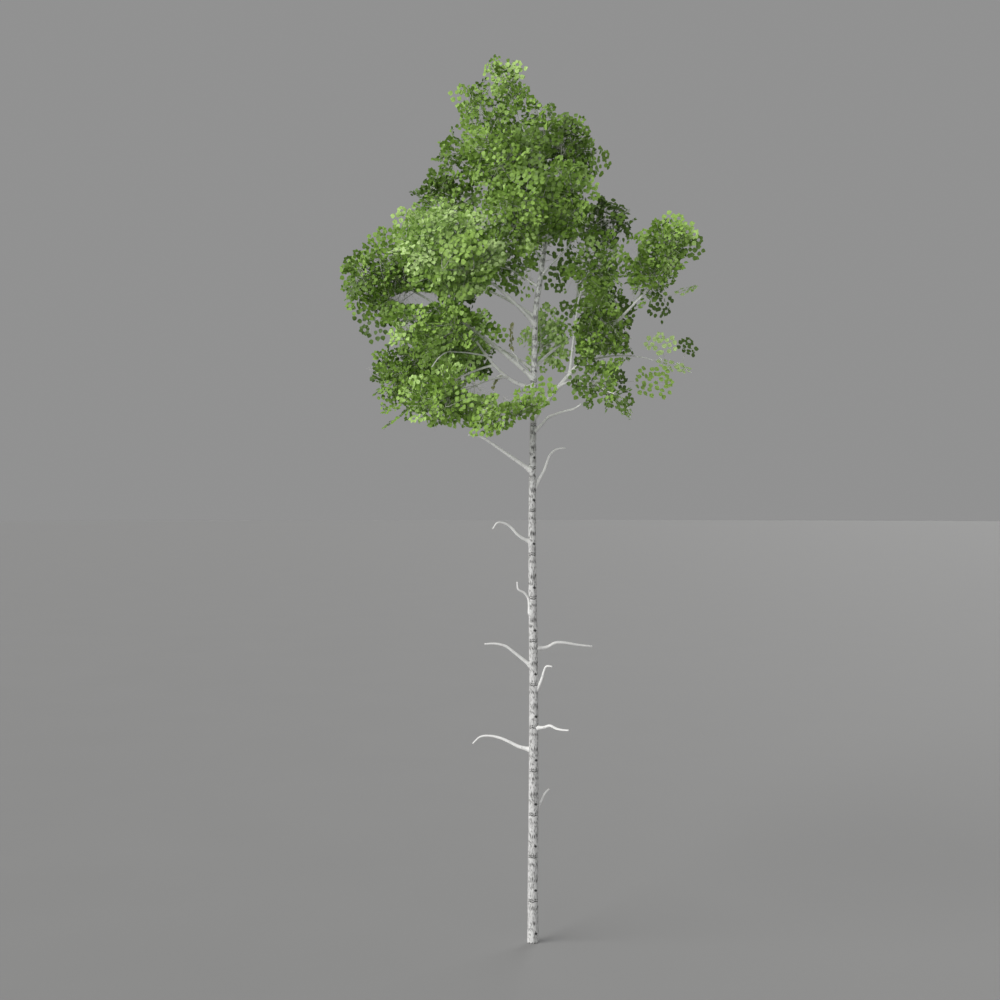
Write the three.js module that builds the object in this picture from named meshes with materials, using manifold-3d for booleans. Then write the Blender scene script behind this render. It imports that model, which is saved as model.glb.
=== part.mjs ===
// A stand-grown quaking aspen: a slender pale trunk with dead limbs on its bare lower half, under a loose
// crown of boughs and leafy sprays. Millimetres, +Z up, +X to the right, +Y away from the front, origin on
// the ground at the middle of the trunk's flat cut.

import * as THREE from 'three';
import { mergeVertices } from 'three/addons/utils/BufferGeometryUtils.js';
import Module from 'manifold-3d';

const wasm = await Module();
wasm.setup();

// Trunk
const footDiameter = 148;
const flareDiameter = 14; // what the root flare adds at the ground
const flareHeight = 150;
const forkHeight = 9100; // where the second leader leaves
const forkDiameter = 68;
const topHeight = 11330;
const topDiameter = 18;
const taperPower = 1.25; // the bare trunk loses girth faster as it rises
const trunkSides = 10;
const trunkSteps = 28;
const trunkSway = [ // the middle of the trunk: to the right, away, height
  [0, 0, 0],
  [0, 0, 700],
  [11, -6, 3300],
  [-10, 4, 5500],
  [8, 0, 7400],
  [24, 6, 8200],
  [45, 8, 8650],
  [122, 10, 9150],
  [158, 5, 9650],
  [50, 0, 10500],
  [-240, 0, topHeight],
];

// Limbs
const seatGap = 0.3; // clear space where one piece meets the next
const limbSides = 6;
const limbStep = 300; // length of one stretch of a bough
const fewestSteps = 3;
const deadSides = 5;
const steepestRoot = 40; // a dead limb leaves the trunk no steeper than this, in degrees

// Stems and twigs
const leafClearance = 5; // least distance from twigs and leaves to wood that isn't their own
const trunkStemDiameter = 28;
const boughStemDiameter = 19;
const topStemDiameter = 14;
const stemEndDiameter = 13;
const stemSides = 4;
const stemSteps = 3;
const stemReach = 0.55; // how far a stem runs past the middle of its foliage, as a share of the space
const twigSides = 3;
const twigDiameter = 12;
const twigEndDiameter = 9;
const twigLean = 0.75; // how far down the stem a twig starts, for each unit that it reaches out
const twigPlaces = [0.12, 0.94]; // first and last place of a twig on the stem, as shares of it
const fewestTwigs = 4;
const twigPatch = 0.42e6; // the space's surface for each further twig
const firstSeed = 101;
const seedStep = 7;

// Leaves: one blade stands for a whole spray
const stalkDiameter = 4.6;
const stalkLength = 22;
const leafLength = 460;
const leafOfSpace = 0.8; // in a narrow space a blade is no longer than this share of its radius
const leafSpread = [0.85, 1.1]; // smallest and largest blade, as shares of that
const leafWidth = 0.9; // share of the length
const leafWidest = 0.42; // share of the length
const leafThickness = 0.022; // share of the length
const longestEnd = 0.66; // an end blade takes up to this share of its twig's reach
const leafTrials = [[1, 0], [1, 60], [1, 120], [0.8, 0], [0.8, 60], [0.8, 120], [0.65, 0], [0.65, 90]];
const sideLeafAngle = 64; // from the twig's own direction
const sideLeafShare = 0.95; // a side blade's length beside an end blade's
const sideLeafStep = 50; // each side blade stands this far behind the last
const shortestLeaf = 0.5; // a side blade with less room than this share of its length is left out
const spaceShare = 0.99; // leaf tips keep to this share of their space
const spaceMargin = 3; // clear space kept to the next foliage
const fineEdge = 1; // edges shorter than this are closed up after joining
const goldenAngle = Math.PI * (3 - Math.sqrt(5));

// Boughs. from: height on the trunk, or share of the bough it stands on; tip: right, away, height;
// girth: diameters at foot and tip; bow: how far the middle is drawn up.
const boughs = {
  bough_right_long: { on: 'trunk', from: 7120, tip: [1550, -50, 8840], girth: [68, 28], bow: 90 },
  bough_right_rising: { on: 'bough_right_long', from: 0.33, tip: [600, -110, 8640], girth: [36, 24], bow: 0 },
  bough_right_low: { on: 'bough_right_long', from: 0.24, tip: [650, -430, 7570], girth: [34, 22], bow: 60 },
  bough_right_level: { on: 'bough_right_long', from: 0.4, tip: [1480, 200, 7960], girth: [34, 20], bow: 130 },
  bough_right_front: { on: 'bough_right_long', from: 0.52, tip: [900, -290, 8120], girth: [32, 22], bow: 0 },
  bough_left_long: { on: 'trunk', from: 7640, tip: [-1640, 50, 8850], girth: [62, 26], bow: 150 },
  bough_left_low: { on: 'trunk', from: 7535, tip: [-745, -250, 8100], girth: [58, 26], bow: -300 },
  bough_left_level: { on: 'bough_left_low', from: 0.64, tip: [-1010, 60, 7660], girth: [34, 22], bow: 40 },
  bough_left_front: { on: 'bough_left_low', from: 0.4, tip: [-700, -550, 7540], girth: [34, 22], bow: 40 },
  bough_left_middle: { on: 'trunk', from: 8380, tip: [-560, -380, 8890], girth: [60, 28], bow: 60 },
  bough_front_low: { on: 'trunk', from: 7290, tip: [-190, -640, 7230], girth: [38, 22], bow: 60 },
  bough_right_slim: { on: 'trunk', from: 9035, tip: [455, -150, 9395], girth: [36, 22], bow: 0 },
  leader_right: { on: 'trunk', from: 9000, tip: [380, 300, 10620], girth: [46, 24], bow: 60 },
  bough_back_right: { on: 'leader_right', from: 0.36, tip: [760, 850, 9800], girth: [32, 22], bow: 0 },
  bough_back_right_low: { on: 'trunk', from: 7800, tip: [560, 800, 8300], girth: [46, 26], bow: 50 },
  bough_back_left: { on: 'trunk', from: 8480, tip: [-650, 620, 8950], girth: [48, 26], bow: 60 },
  bough_back_left_low: { on: 'trunk', from: 7760, tip: [-520, 700, 8150], girth: [46, 26], bow: 50 },
};

// Dead limbs. from: height on the trunk; heading: degrees about the trunk; pitches: slope of each stretch.
const deadLimbs = {
  dead_limb_01: { from: 6915, heading: -15, length: 740, girth: [42, 18], pitches: [42, 47, 22, 17, 13, 32] },
  dead_limb_02: { from: 6390, heading: 190, length: 970, girth: [54, 19], pitches: [33, 34, 34, 34, 29, 8] },
  dead_limb_03: { from: 6150, heading: 15, length: 730, girth: [44, 18], pitches: [60, 60, 69, 67, 38, 8] },
  dead_limb_04: { from: 5420, heading: 200, length: 640, girth: [42, 18], pitches: [24, 37, 47, 32, 5, -50] },
  dead_limb_05: { from: 4435, heading: 200, length: 490, girth: [40, 19], pitches: [84, 82, 52, 30, 81] },
  dead_limb_06: { from: 3985, heading: 12, length: 780, girth: [46, 20], pitches: [4, 25, 0, -10, -9, -6] },
  dead_limb_07: { from: 3720, heading: 188, length: 715, girth: [46, 19], pitches: [39, 39, 36, 14, -1] },
  dead_limb_08: { from: 3400, heading: -20, length: 420, girth: [42, 19], pitches: [61, 68, 74, 64, 2] },
  dead_limb_09: { from: 2905, heading: -32, length: 490, girth: [44, 19], pitches: [8, 18, -18, -6, 2] },
  dead_limb_10: { from: 2600, heading: 170, length: 845, girth: [50, 17], pitches: [13, 24, 22, 10, -7, -42] },
  dead_limb_11: { from: 1755, heading: 25, length: 320, girth: [40, 19], pitches: [58, 60, 60, 40] },
};

// Dead twigs in the crown stand on a bough, at a share of its length.
const deadTwigs = {
  dead_twig_hooked: {
    on: 'bough_left_low', from: 0.47, heading: 205, length: 340, girth: [20, 11],
    pitches: [-25, -50, -80, -105],
  },
  dead_twig_arched: {
    on: 'bough_left_low', from: 0.8, heading: 214, length: 940, girth: [20, 11],
    pitches: [4, 4, 0, -4, -34, -50],
  },
  dead_twig_upright: {
    on: 'bough_left_long', from: 0.14, heading: 180, length: 560, girth: [20, 11],
    pitches: [80, 52, 88, 94, 92],
  },
};

// Foliage. on: the bough that carries it, or a height on the trunk; middle: right, away, height;
// wide and tall: radii of the space it fills; shade: 0 in the depth of the crown to 1 in the light.
const foliage = {
  top: { on: topHeight, middle: [-335, 0, 11620], wide: 290, tall: 560, shade: 0.8 },
  top_left: { on: 10560, middle: [-680, -150, 11200], wide: 360, tall: 470, shade: 0.7 },
  top_right: { on: 10330, middle: [80, -120, 11080], wide: 360, tall: 440, shade: 0.6 },
  leader_right: { on: 'leader_right', middle: [450, 850, 11000], wide: 500, tall: 620, shade: 0.1 },
  upper_front: { on: 9950, middle: [-440, -560, 10450], wide: 620, tall: 580, shade: 0.6 },
  upper_left: { on: 10060, middle: [-1020, 150, 10650], wide: 370, tall: 500, shade: 0.6 },
  left_shoulder: { on: 9560, middle: [-1250, 200, 10230], wide: 420, tall: 430, shade: 0.4 },
  right_slim: { on: 'bough_right_slim', middle: [380, -500, 10030], wide: 540, tall: 550, shade: 0.6 },
  middle_front: { on: 9210, middle: [-260, -950, 9680], wide: 560, tall: 440, shade: 0.7 },
  left_middle: { on: 'bough_left_middle', middle: [-1140, -850, 9310], wide: 780, tall: 720, shade: 1 },
  far_left: { on: 'bough_left_long', middle: [-2020, -40, 8980], wide: 600, tall: 700, shade: 0.5 },
  left_behind: { on: 8890, middle: [-490, 480, 9330], wide: 580, tall: 430, shade: 0.2 },
  back_right: { on: 'bough_back_right', middle: [1130, 1450, 10070], wide: 440, tall: 460, shade: 0 },
  right_rising: { on: 'bough_right_rising', middle: [880, 60, 9190], wide: 500, tall: 520, shade: 0.5 },
  far_right: { on: 'bough_right_long', middle: [1730, -100, 9270], wide: 590, tall: 620, shade: 0.7 },
  right_front: { on: 'bough_right_front', middle: [890, -400, 8240], wide: 510, tall: 620, shade: 0.3 },
  right_low: { on: 'bough_right_low', middle: [900, -820, 7430], wide: 440, tall: 350, shade: 0.4 },
  right_level: { on: 'bough_right_level', middle: [1880, 350, 7900], wide: 470, tall: 500, shade: 0.4 },
  behind_trunk: { on: 7900, middle: [215, 760, 8290], wide: 390, tall: 530, shade: 0.7 },
  left_low: { on: 'bough_left_low', middle: [-1290, -360, 8240], wide: 780, tall: 490, shade: 0.4 },
  left_level: { on: 'bough_left_level', middle: [-1700, 240, 7760], wide: 580, tall: 650, shade: 0.6 },
  left_front: { on: 'bough_left_front', middle: [-1120, -900, 7330], wide: 640, tall: 440, shade: 0.6 },
  front_low: { on: 'bough_front_low', middle: [-470, -1420, 7150], wide: 590, tall: 360, shade: 0.6 },
  upper_back: { on: 10280, middle: [-240, 760, 10900], wide: 620, tall: 600, shade: 0.2 },
  back_left: { on: 'bough_back_left', middle: [-1310, 1300, 9410], wide: 740, tall: 660, shade: 0.2 },
  back_left_low: { on: 'bough_back_left_low', middle: [-1110, 1480, 8200], wide: 680, tall: 520, shade: 0.2 },
  back_right_low: { on: 'bough_back_right_low', middle: [1090, 1480, 8780], wide: 450, tall: 560, shade: 0.1 },
  back_middle: { on: 9750, middle: [210, 1380, 10250], wide: 600, tall: 560, shade: 0.1 },
};

const up = new THREE.Vector3(0, 0, 1);
const rightward = new THREE.Vector3(1, 0, 0);
const away = new THREE.Vector3(0, 1, 0);
const nearlyUpright = 0.9;
const radians = THREE.MathUtils.degToRad;
const lerp = THREE.MathUtils.lerp;

function barkMaterial(color) {
  return new THREE.MeshStandardMaterial({ color, roughness: 0.86, metalness: 0 });
}

function leafMaterial(shade) {
  const color = new THREE.Color(0x3a4f1c).lerp(new THREE.Color(0x86a853), shade);
  return new THREE.MeshStandardMaterial({ color, roughness: 0.55, metalness: 0 });
}

// The same numbers in the same order for each seed, from 0 up to 1.
function seeded(seed) {
  let state = seed >>> 0;
  return () => {
    state = (Math.imul(state, 1664525) + 1013904223) >>> 0;
    return state / 2 ** 32;
  };
}

// Solids and geometries

function solidOf(geometry) {
  const bare = new THREE.BufferGeometry();
  bare.setAttribute('position', geometry.getAttribute('position'));
  bare.setIndex(geometry.getIndex());
  const merged = mergeVertices(bare);
  const vertProperties = merged.getAttribute('position').array;
  const triVerts = Uint32Array.from(merged.getIndex().array);
  return new wasm.Manifold(new wasm.Mesh({ numProp: 3, vertProperties, triVerts }));
}

function geometryOf(solid) {
  const { vertProperties, triVerts } = solid.getMesh();
  const geometry = new THREE.BufferGeometry();
  geometry.setAttribute('position', new THREE.BufferAttribute(vertProperties, 3));
  geometry.setIndex(new THREE.BufferAttribute(triVerts, 1));
  return geometry;
}

function largestPart(solid) {
  return solid.decompose().reduce((most, part) => (part.volume() > most.volume() ? part : most));
}

function boxesMeet(a, b) {
  return [0, 1, 2].every((axis) => a.min[axis] <= b.max[axis] && b.min[axis] <= a.max[axis]);
}

function touches(solid, others) {
  const box = solid.boundingBox();
  return others.some((other) => boxesMeet(box, other.box) && !other.solid.intersect(solid).isEmpty());
}

// A mesh kept in its own frame: it stands at its foot and is turned to its heading.
function placedMesh(name, solid, material, foot, heading) {
  const mesh = new THREE.Mesh(geometryOf(solid), material);
  mesh.name = name;
  mesh.position.copy(foot);
  mesh.rotation.z = heading;
  mesh.updateMatrix();
  mesh.geometry.applyMatrix4(mesh.matrix.clone().invert());
  mesh.geometry.computeVertexNormals();
  return mesh;
}

// Limbs

// A cylinder of unit radius and height is bent along the limb's curve, ring by ring. Its ends and sides
// can be grown, to cut a clear seat in a neighbour.
function limbSolid(limb, grow = 0) {
  const { curve, radiusAt, sides, steps } = limb;
  const frames = limb.frames ?? curve.computeFrenetFrames(steps);
  const geometry = new THREE.CylinderGeometry(1, 1, 1, sides, steps);
  const position = geometry.getAttribute('position');
  const vertex = new THREE.Vector3();
  for (let i = 0; i < position.count; i++) {
    vertex.fromBufferAttribute(position, i);
    const ring = Math.round((vertex.y + 0.5) * steps);
    const middle = curve.getPointAt(ring / steps);
    const radius = radiusAt(ring / steps, middle) + grow;
    if (ring === 0) middle.addScaledVector(frames.tangents[ring], -grow);
    if (ring === steps) middle.addScaledVector(frames.tangents[ring], grow);
    middle.addScaledVector(frames.normals[ring], radius * vertex.x);
    middle.addScaledVector(frames.binormals[ring], -radius * vertex.z);
    position.setXYZ(i, middle.x, middle.y, middle.z);
  }
  return solidOf(geometry);
}

function taper(girth) {
  return (share) => lerp(girth[0], girth[1], share) / 2;
}

// Level rings from the ground up: below the fork a slow taper with the root flare, above it a quick one.
function makeTrunk() {
  const curve = new THREE.CatmullRomCurve3(trunkSway.map((point) => new THREE.Vector3(...point)));
  const everyRing = (direction) => Array(trunkSteps + 1).fill(direction);
  const frames = { tangents: everyRing(up), normals: everyRing(rightward), binormals: everyRing(away) };
  const radiusAt = (share, middle) => {
    const flare = flareDiameter * Math.exp(-middle.z / flareHeight);
    const lower = Math.min(middle.z / forkHeight, 1) ** taperPower;
    const upper = Math.max(middle.z - forkHeight, 0) / (topHeight - forkHeight);
    const diameter = lerp(lerp(footDiameter, forkDiameter, lower), topDiameter, upper);
    return (diameter + flare) / 2;
  };
  return { name: 'trunk', curve, frames, radiusAt, sides: trunkSides, steps: trunkSteps };
}

// The point on the trunk's middle at a height, found by halving.
function trunkAt(height) {
  let low = 0;
  let high = 1;
  while (high - low > 1e-9) {
    const middle = (low + high) / 2;
    if (trunk.curve.getPointAt(middle).z < height) low = middle;
    else high = middle;
  }
  return trunk.curve.getPointAt(low);
}

function rootOf({ on, from }) {
  return on === 'trunk' ? trunkAt(from) : limbs.get(on).curve.getPointAt(from);
}

// A bough runs from the middle of what carries it to its tip in one easy curve.
function makeBough(name, spec) {
  const foot = rootOf(spec);
  const tip = new THREE.Vector3(...spec.tip);
  const bend = foot.clone().lerp(tip, 0.5).addScaledVector(up, spec.bow);
  const curve = new THREE.QuadraticBezierCurve3(foot, bend, tip);
  const steps = Math.max(fewestSteps, Math.round(curve.getLength() / limbStep));
  return { name, on: spec.on, curve, radiusAt: taper(spec.girth), sides: limbSides, steps };
}

// A dead limb is walked stretch by stretch from the surface that it stands on, each at its own slope.
function makeDeadLimb(name, spec) {
  const heading = radians(spec.heading);
  const root = rootOf(spec);
  const points = [root];
  const walk = (length, pitch) => {
    const step = new THREE.Vector3(Math.cos(pitch), 0, Math.sin(pitch)).applyAxisAngle(up, heading);
    points.push(points.at(-1).clone().addScaledVector(step, length));
  };
  if (spec.on === 'trunk') walk(trunk.radiusAt(0, root), radians(Math.min(spec.pitches[0], steepestRoot)));
  for (const pitch of spec.pitches) walk(spec.length / spec.pitches.length, radians(pitch));
  const curve = new THREE.CatmullRomCurve3(points);
  return { name, on: spec.on, curve, radiusAt: taper(spec.girth), sides: deadSides, steps: points.length };
}

// Foliage

// How far a ray from a point in a space runs before it leaves the space or enters a neighbour's. Two spaces
// that meet are parted by the plane on which both are equally deep.
function roomAhead(space, point, direction) {
  const radii = new THREE.Vector3(space.wide, space.wide, space.tall);
  const offset = point.clone().sub(space.middle);
  const from = offset.clone().divide(radii);
  const step = direction.clone().divide(radii);
  const across = from.dot(step);
  const inner = across ** 2 - step.lengthSq() * (from.lengthSq() - 1);
  if (inner < 0) return 0;
  let room = (Math.sqrt(inner) - across) / step.lengthSq();
  for (const wall of space.walls) {
    const closing = direction.dot(wall.normal);
    if (closing > 0) room = Math.min(room, (wall.distance - offset.dot(wall.normal)) / closing);
  }
  return room;
}

function isInside(space, point) {
  const offset = point.clone().sub(space.middle);
  const depth = offset.length();
  return depth < 1 || depth <= roomAhead(space, space.middle, offset.divideScalar(depth));
}

function makeSpaces() {
  const spaces = Object.values(foliage)
    .map(({ middle, wide, tall }) => ({ middle: new THREE.Vector3(...middle), wide, tall }));
  for (const space of spaces) {
    space.walls = [];
    for (const other of spaces) {
      if (other === space) continue;
      const normal = other.middle.clone().sub(space.middle);
      const apart = normal.length();
      const distance = (apart ** 2 + space.wide * space.tall - other.wide * other.tall) / (2 * apart);
      space.walls.push({ normal: normal.divideScalar(apart), distance: distance - spaceMargin });
    }
  }
  return spaces;
}

// A stem leaves its bough's tip in the bough's own direction, or the trunk's side or tip, and runs past the
// middle of its space.
function makeStem({ on }, space) {
  const onTrunk = typeof on === 'number';
  const carrier = onTrunk ? trunk : limbs.get(on);
  const foot = onTrunk ? trunkAt(on) : carrier.curve.getPoint(1);
  const ahead = space.middle.clone().sub(foot);
  const distance = ahead.length();
  ahead.divideScalar(distance);
  const leaving = onTrunk ? ahead : carrier.curve.getTangent(1);
  const bend = foot.clone().addScaledVector(leaving, distance / 2);
  const end = space.middle.clone().addScaledVector(ahead, roomAhead(space, space.middle, ahead) * stemReach);
  const curve = new THREE.QuadraticBezierCurve3(foot, bend, end);
  const sideDiameter = onTrunk ? trunkStemDiameter : boughStemDiameter;
  const girth = [on === topHeight ? topStemDiameter : sideDiameter, stemEndDiameter];
  return { carrier, curve, radiusAt: taper(girth), sides: stemSides, steps: stemSteps };
}

// A leaf blade on its three-sided stalk, as one slim cone: a ring at the stalk's root, one at its neck, one
// where the blade is widest, flat below and ridged above, and the tip.
function leafSolid({ root, neck, direction, across, length, girth }) {
  const normal = across.clone().cross(direction);
  const widest = neck.clone().addScaledVector(direction, length * leafWidest);
  const half = (length * leafWidth) / 2;
  const round = (middle, diameter) => Array.from({ length: twigSides }, (_, i) => middle.clone()
    .addScaledVector(normal, (Math.cos((i * Math.PI * 2) / twigSides) * diameter) / 2)
    .addScaledVector(across, (Math.sin((i * Math.PI * 2) / twigSides) * diameter) / 2));
  const rings = [
    round(root, girth[0]),
    round(neck, girth[1]),
    [
      widest.clone().addScaledVector(normal, length * leafThickness),
      widest.clone().addScaledVector(across, half),
      widest.clone().addScaledVector(across, -half),
    ],
    Array(twigSides).fill(neck.clone().addScaledVector(direction, length)),
  ];
  const geometry = new THREE.ConeGeometry(1, 1, twigSides, rings.length - 1);
  const position = geometry.getAttribute('position');
  const vertex = new THREE.Vector3();
  for (let i = 0; i < position.count; i++) {
    vertex.fromBufferAttribute(position, i);
    const ring = Math.round((vertex.y + 0.5) * (rings.length - 1));
    const turn = Math.round((Math.atan2(vertex.x, vertex.z) / (Math.PI * 2)) * twigSides);
    const onAxis = Math.hypot(vertex.x, vertex.z) < 1e-6;
    const place = onAxis && ring === 0 ? root : rings[ring][(turn + twigSides) % twigSides];
    position.setXYZ(i, place.x, place.y, place.z);
  }
  return solidOf(geometry);
}

function leafCorners({ neck, direction, across, length }) {
  const widest = neck.clone().addScaledVector(direction, length * leafWidest);
  const half = (length * leafWidth) / 2;
  return [
    neck.clone().addScaledVector(direction, length),
    widest.clone().addScaledVector(across, half),
    widest.clone().addScaledVector(across, -half),
  ];
}

// A direction square to another, turned about it by a roll.
function squareTo(direction, roll) {
  const level = Math.abs(direction.z) < nearlyUpright ? up : rightward;
  return direction.clone().cross(level).normalize().applyAxisAngle(direction, roll);
}

// Twigs aim evenly all round the space, out to its edge, and leave the stem some way below their aim. Every
// twig draws the same count of random numbers, kept or not.
function growTwigs(space, stem, seed) {
  const random = seeded(seed);
  const phase = random() * Math.PI * 2;
  const length = stem.curve.getLength();
  const foot = stem.curve.getPoint(0);
  const along = stem.curve.getPoint(1).sub(foot).normalize();
  const surface = (4 * Math.PI * space.wide * (space.wide + 2 * space.tall)) / 3;
  const count = Math.round(fewestTwigs + surface / twigPatch);
  const longest = Math.min(leafLength, space.wide * leafOfSpace);
  return Array.from({ length: count }, (_, i) => {
    const roll = random() * Math.PI * 2;
    const size = longest * lerp(leafSpread[0], leafSpread[1], random());
    const height = 1 - (2 * i + 1) / count;
    const around = phase + i * goldenAngle;
    const level = Math.sqrt(1 - height ** 2);
    const aimed = new THREE.Vector3(level * Math.cos(around), level * Math.sin(around), height);
    const edge = roomAhead(space, space.middle, aimed) * spaceShare;
    const aim = space.middle.clone().addScaledVector(aimed, edge);
    const beside = aim.clone().sub(foot);
    const advance = beside.dot(along);
    const reach = Math.sqrt(Math.max(beside.lengthSq() - advance ** 2, 0));
    const share = THREE.MathUtils.clamp((advance - reach * twigLean) / length, twigPlaces[0], twigPlaces[1]);
    return { root: stem.curve.getPointAt(share), aim, roll, size };
  });
}

// The blade at a twig's end, with its tip on the twig's aim.
function endLeaf({ root, aim, roll, size }, share, turn) {
  const direction = aim.clone().sub(root);
  const reach = direction.length();
  direction.divideScalar(reach);
  const length = Math.min(size, reach * longestEnd) * share;
  const neck = aim.clone().addScaledVector(direction, -length);
  const across = squareTo(direction, roll + radians(turn));
  return { root, neck, direction, across, length, girth: [twigDiameter, twigEndDiameter] };
}

// The blades down the twig behind it, each standing out of the next face of the three-sided twig.
function sideLeaf(space, twig, end, i) {
  const face = 90 - 180 / twigSides + (i * 360) / twigSides;
  const side = end.across.clone().applyAxisAngle(end.direction, -radians(face));
  const across = end.direction.clone().cross(side);
  const direction = side.applyAxisAngle(across, -radians(90 - sideLeafAngle));
  const root = end.neck.clone().addScaledVector(end.direction, -(i + 0.5) * sideLeafStep);
  const neck = root.clone().addScaledVector(direction, stalkLength);
  const length = Math.min(twig.size * sideLeafShare, roomAhead(space, neck, direction) * spaceShare);
  return { root, neck, direction, across, length, girth: [stalkDiameter, stalkDiameter] };
}

// A blade that leaves the space, touches other wood or crosses another twig's blades is tried again shorter
// and turned about its twig, and otherwise left out. What is joined is closed up, and the stem is cut clear
// of the wood that carries it.
function makeFoliage(space, stem, seed, others) {
  const pieces = [limbSolid(stem)];
  const placed = [...others];
  const fits = (leaf) => leafCorners(leaf).every((corner) => isInside(space, corner));
  for (const twig of growTwigs(space, stem, seed)) {
    const trials = leafTrials.map(([share, turn]) => endLeaf(twig, share, turn));
    const end = trials.find((leaf) => fits(leaf) && !touches(leafSolid(leaf), placed));
    if (!end) continue;
    const count = Math.floor(end.root.distanceTo(end.neck) / sideLeafStep);
    const sides = Array.from({ length: count }, (_, i) => sideLeaf(space, twig, end, i))
      .filter((leaf) => leaf.length > twig.size * shortestLeaf && fits(leaf));
    const kept = [leafSolid(end), ...sides.map(leafSolid).filter((leaf) => !touches(leaf, placed))];
    pieces.push(...kept);
    placed.push(...kept.map((solid) => ({ solid, box: solid.boundingBox() })));
  }
  const joined = wasm.Manifold.union(pieces).asOriginal().simplify(fineEdge);
  return largestPart(joined.subtract(limbSolid(stem.carrier, seatGap)));
}

// The tree

const tree = new THREE.Group();
const limbs = new Map();
const wood = []; // all limbs and stems, grown by the leaves' clearance

function addWood(owner, limb) {
  const solid = limbSolid(limb, leafClearance);
  wood.push({ owner, solid, box: solid.boundingBox() });
}

function addLimb(limb, material, heading) {
  limbs.set(limb.name, limb);
  addWood(limb.name, limb);
  const whole = limbSolid(limb);
  const carrier = limbs.get(limb.on);
  const solid = carrier ? largestPart(whole.subtract(limbSolid(carrier, seatGap))) : whole;
  tree.add(placedMesh(limb.name, solid, material, limb.curve.getPoint(0), heading));
}

function headingOf(curve) {
  const run = curve.getPoint(1).sub(curve.getPoint(0));
  return Math.atan2(run.y, run.x);
}

const trunk = makeTrunk();
addLimb(trunk, barkMaterial(0xc4c4c0), 0);

for (const [name, spec] of Object.entries(boughs)) {
  const bough = makeBough(name, spec);
  addLimb(bough, barkMaterial(0xbdbdb8), headingOf(bough.curve));
}

for (const [name, spec] of Object.entries({ ...deadLimbs, ...deadTwigs })) {
  const limb = makeDeadLimb(name, { on: 'trunk', ...spec });
  addLimb(limb, barkMaterial(0xb4b4b0), radians(spec.heading));
}

const spaces = makeSpaces();
const stems = Object.values(foliage).map((spec, i) => makeStem(spec, spaces[i]));
Object.keys(foliage).forEach((name, i) => addWood(name, stems[i]));

Object.entries(foliage).forEach(([name, { shade }], i) => {
  const stem = stems[i];
  const others = wood.filter(({ owner }) => owner !== stem.carrier.name && owner !== name);
  const solid = makeFoliage(spaces[i], stem, firstSeed + seedStep * i, others);
  const heading = headingOf(stem.curve);
  tree.add(placedMesh(`foliage_${name}`, solid, leafMaterial(shade), spaces[i].middle, heading));
});

export default tree;
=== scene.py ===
from math import atan2, cos, pi, radians, sin, sqrt
import bpy
import numpy as np
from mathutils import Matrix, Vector
from numpy.linalg import norm


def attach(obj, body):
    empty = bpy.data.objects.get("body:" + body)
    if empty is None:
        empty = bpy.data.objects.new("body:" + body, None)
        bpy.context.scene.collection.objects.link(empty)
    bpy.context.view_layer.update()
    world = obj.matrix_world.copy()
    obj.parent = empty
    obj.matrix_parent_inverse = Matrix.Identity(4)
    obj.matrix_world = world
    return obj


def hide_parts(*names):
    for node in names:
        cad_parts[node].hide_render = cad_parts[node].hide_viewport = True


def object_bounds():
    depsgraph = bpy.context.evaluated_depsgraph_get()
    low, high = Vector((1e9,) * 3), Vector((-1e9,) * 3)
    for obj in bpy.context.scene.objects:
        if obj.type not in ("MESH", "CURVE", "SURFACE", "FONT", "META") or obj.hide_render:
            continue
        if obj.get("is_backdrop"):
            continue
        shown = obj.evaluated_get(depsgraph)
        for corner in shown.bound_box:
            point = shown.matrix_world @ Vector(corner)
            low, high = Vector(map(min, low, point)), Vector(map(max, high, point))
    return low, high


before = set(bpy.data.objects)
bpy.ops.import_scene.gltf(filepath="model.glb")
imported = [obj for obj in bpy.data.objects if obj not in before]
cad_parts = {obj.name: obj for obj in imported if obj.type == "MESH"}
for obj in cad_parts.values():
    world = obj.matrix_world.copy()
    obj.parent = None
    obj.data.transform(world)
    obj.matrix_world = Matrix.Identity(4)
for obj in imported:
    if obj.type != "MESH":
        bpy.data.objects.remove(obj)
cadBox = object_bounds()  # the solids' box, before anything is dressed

# An aspen: bark with its relief on trunk, boughs and dead limbs, and leaf sprays grown by the solids' rule.
# Metres, +Z up, +X right, +Y away.


# shader maths

class Wire:  # one socket of a material
    def __init__(self, tree, socket=None):
        self.tree = tree
        self.socket = socket

    def node(self, kind, settings=None, sockets=None, out=0):
        made = self.tree.nodes.new(kind)
        for name, value in (settings or {}).items():
            setattr(made, name, value)
        for name, value in (sockets or {}).items():
            if isinstance(value, Wire):
                self.tree.links.new(value.socket, made.inputs[name])
            else:
                made.inputs[name].default_value = value
        return Wire(self.tree, made.outputs[out] if len(made.outputs) else None)

    def sum(self, operation, a, b):
        return self.node("ShaderNodeMath", {"operation": operation}, {0: a, 1: b})

    def __add__(self, other):
        return self.sum("ADD", self, other)

    def __radd__(self, other):
        return self.sum("ADD", other, self)

    def __sub__(self, other):
        return self.sum("SUBTRACT", self, other)

    def __rsub__(self, other):
        return self.sum("SUBTRACT", other, self)

    def __mul__(self, other):
        return self.sum("MULTIPLY", self, other)

    def __rmul__(self, other):
        return self.sum("MULTIPLY", other, self)


def newMaterial(name):
    material = bpy.data.materials.new(name)
    material.use_nodes = True
    material.node_tree.nodes.clear()
    return material, Wire(material.node_tree)


def mixColor(share, first, second):
    return share.node("ShaderNodeMix", {"data_type": "RGBA"}, {0: share, 6: first, 7: second}, 2)


def objectPlace(wire):
    return wire.node("ShaderNodeTexCoord", {}, {}, 3)


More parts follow.
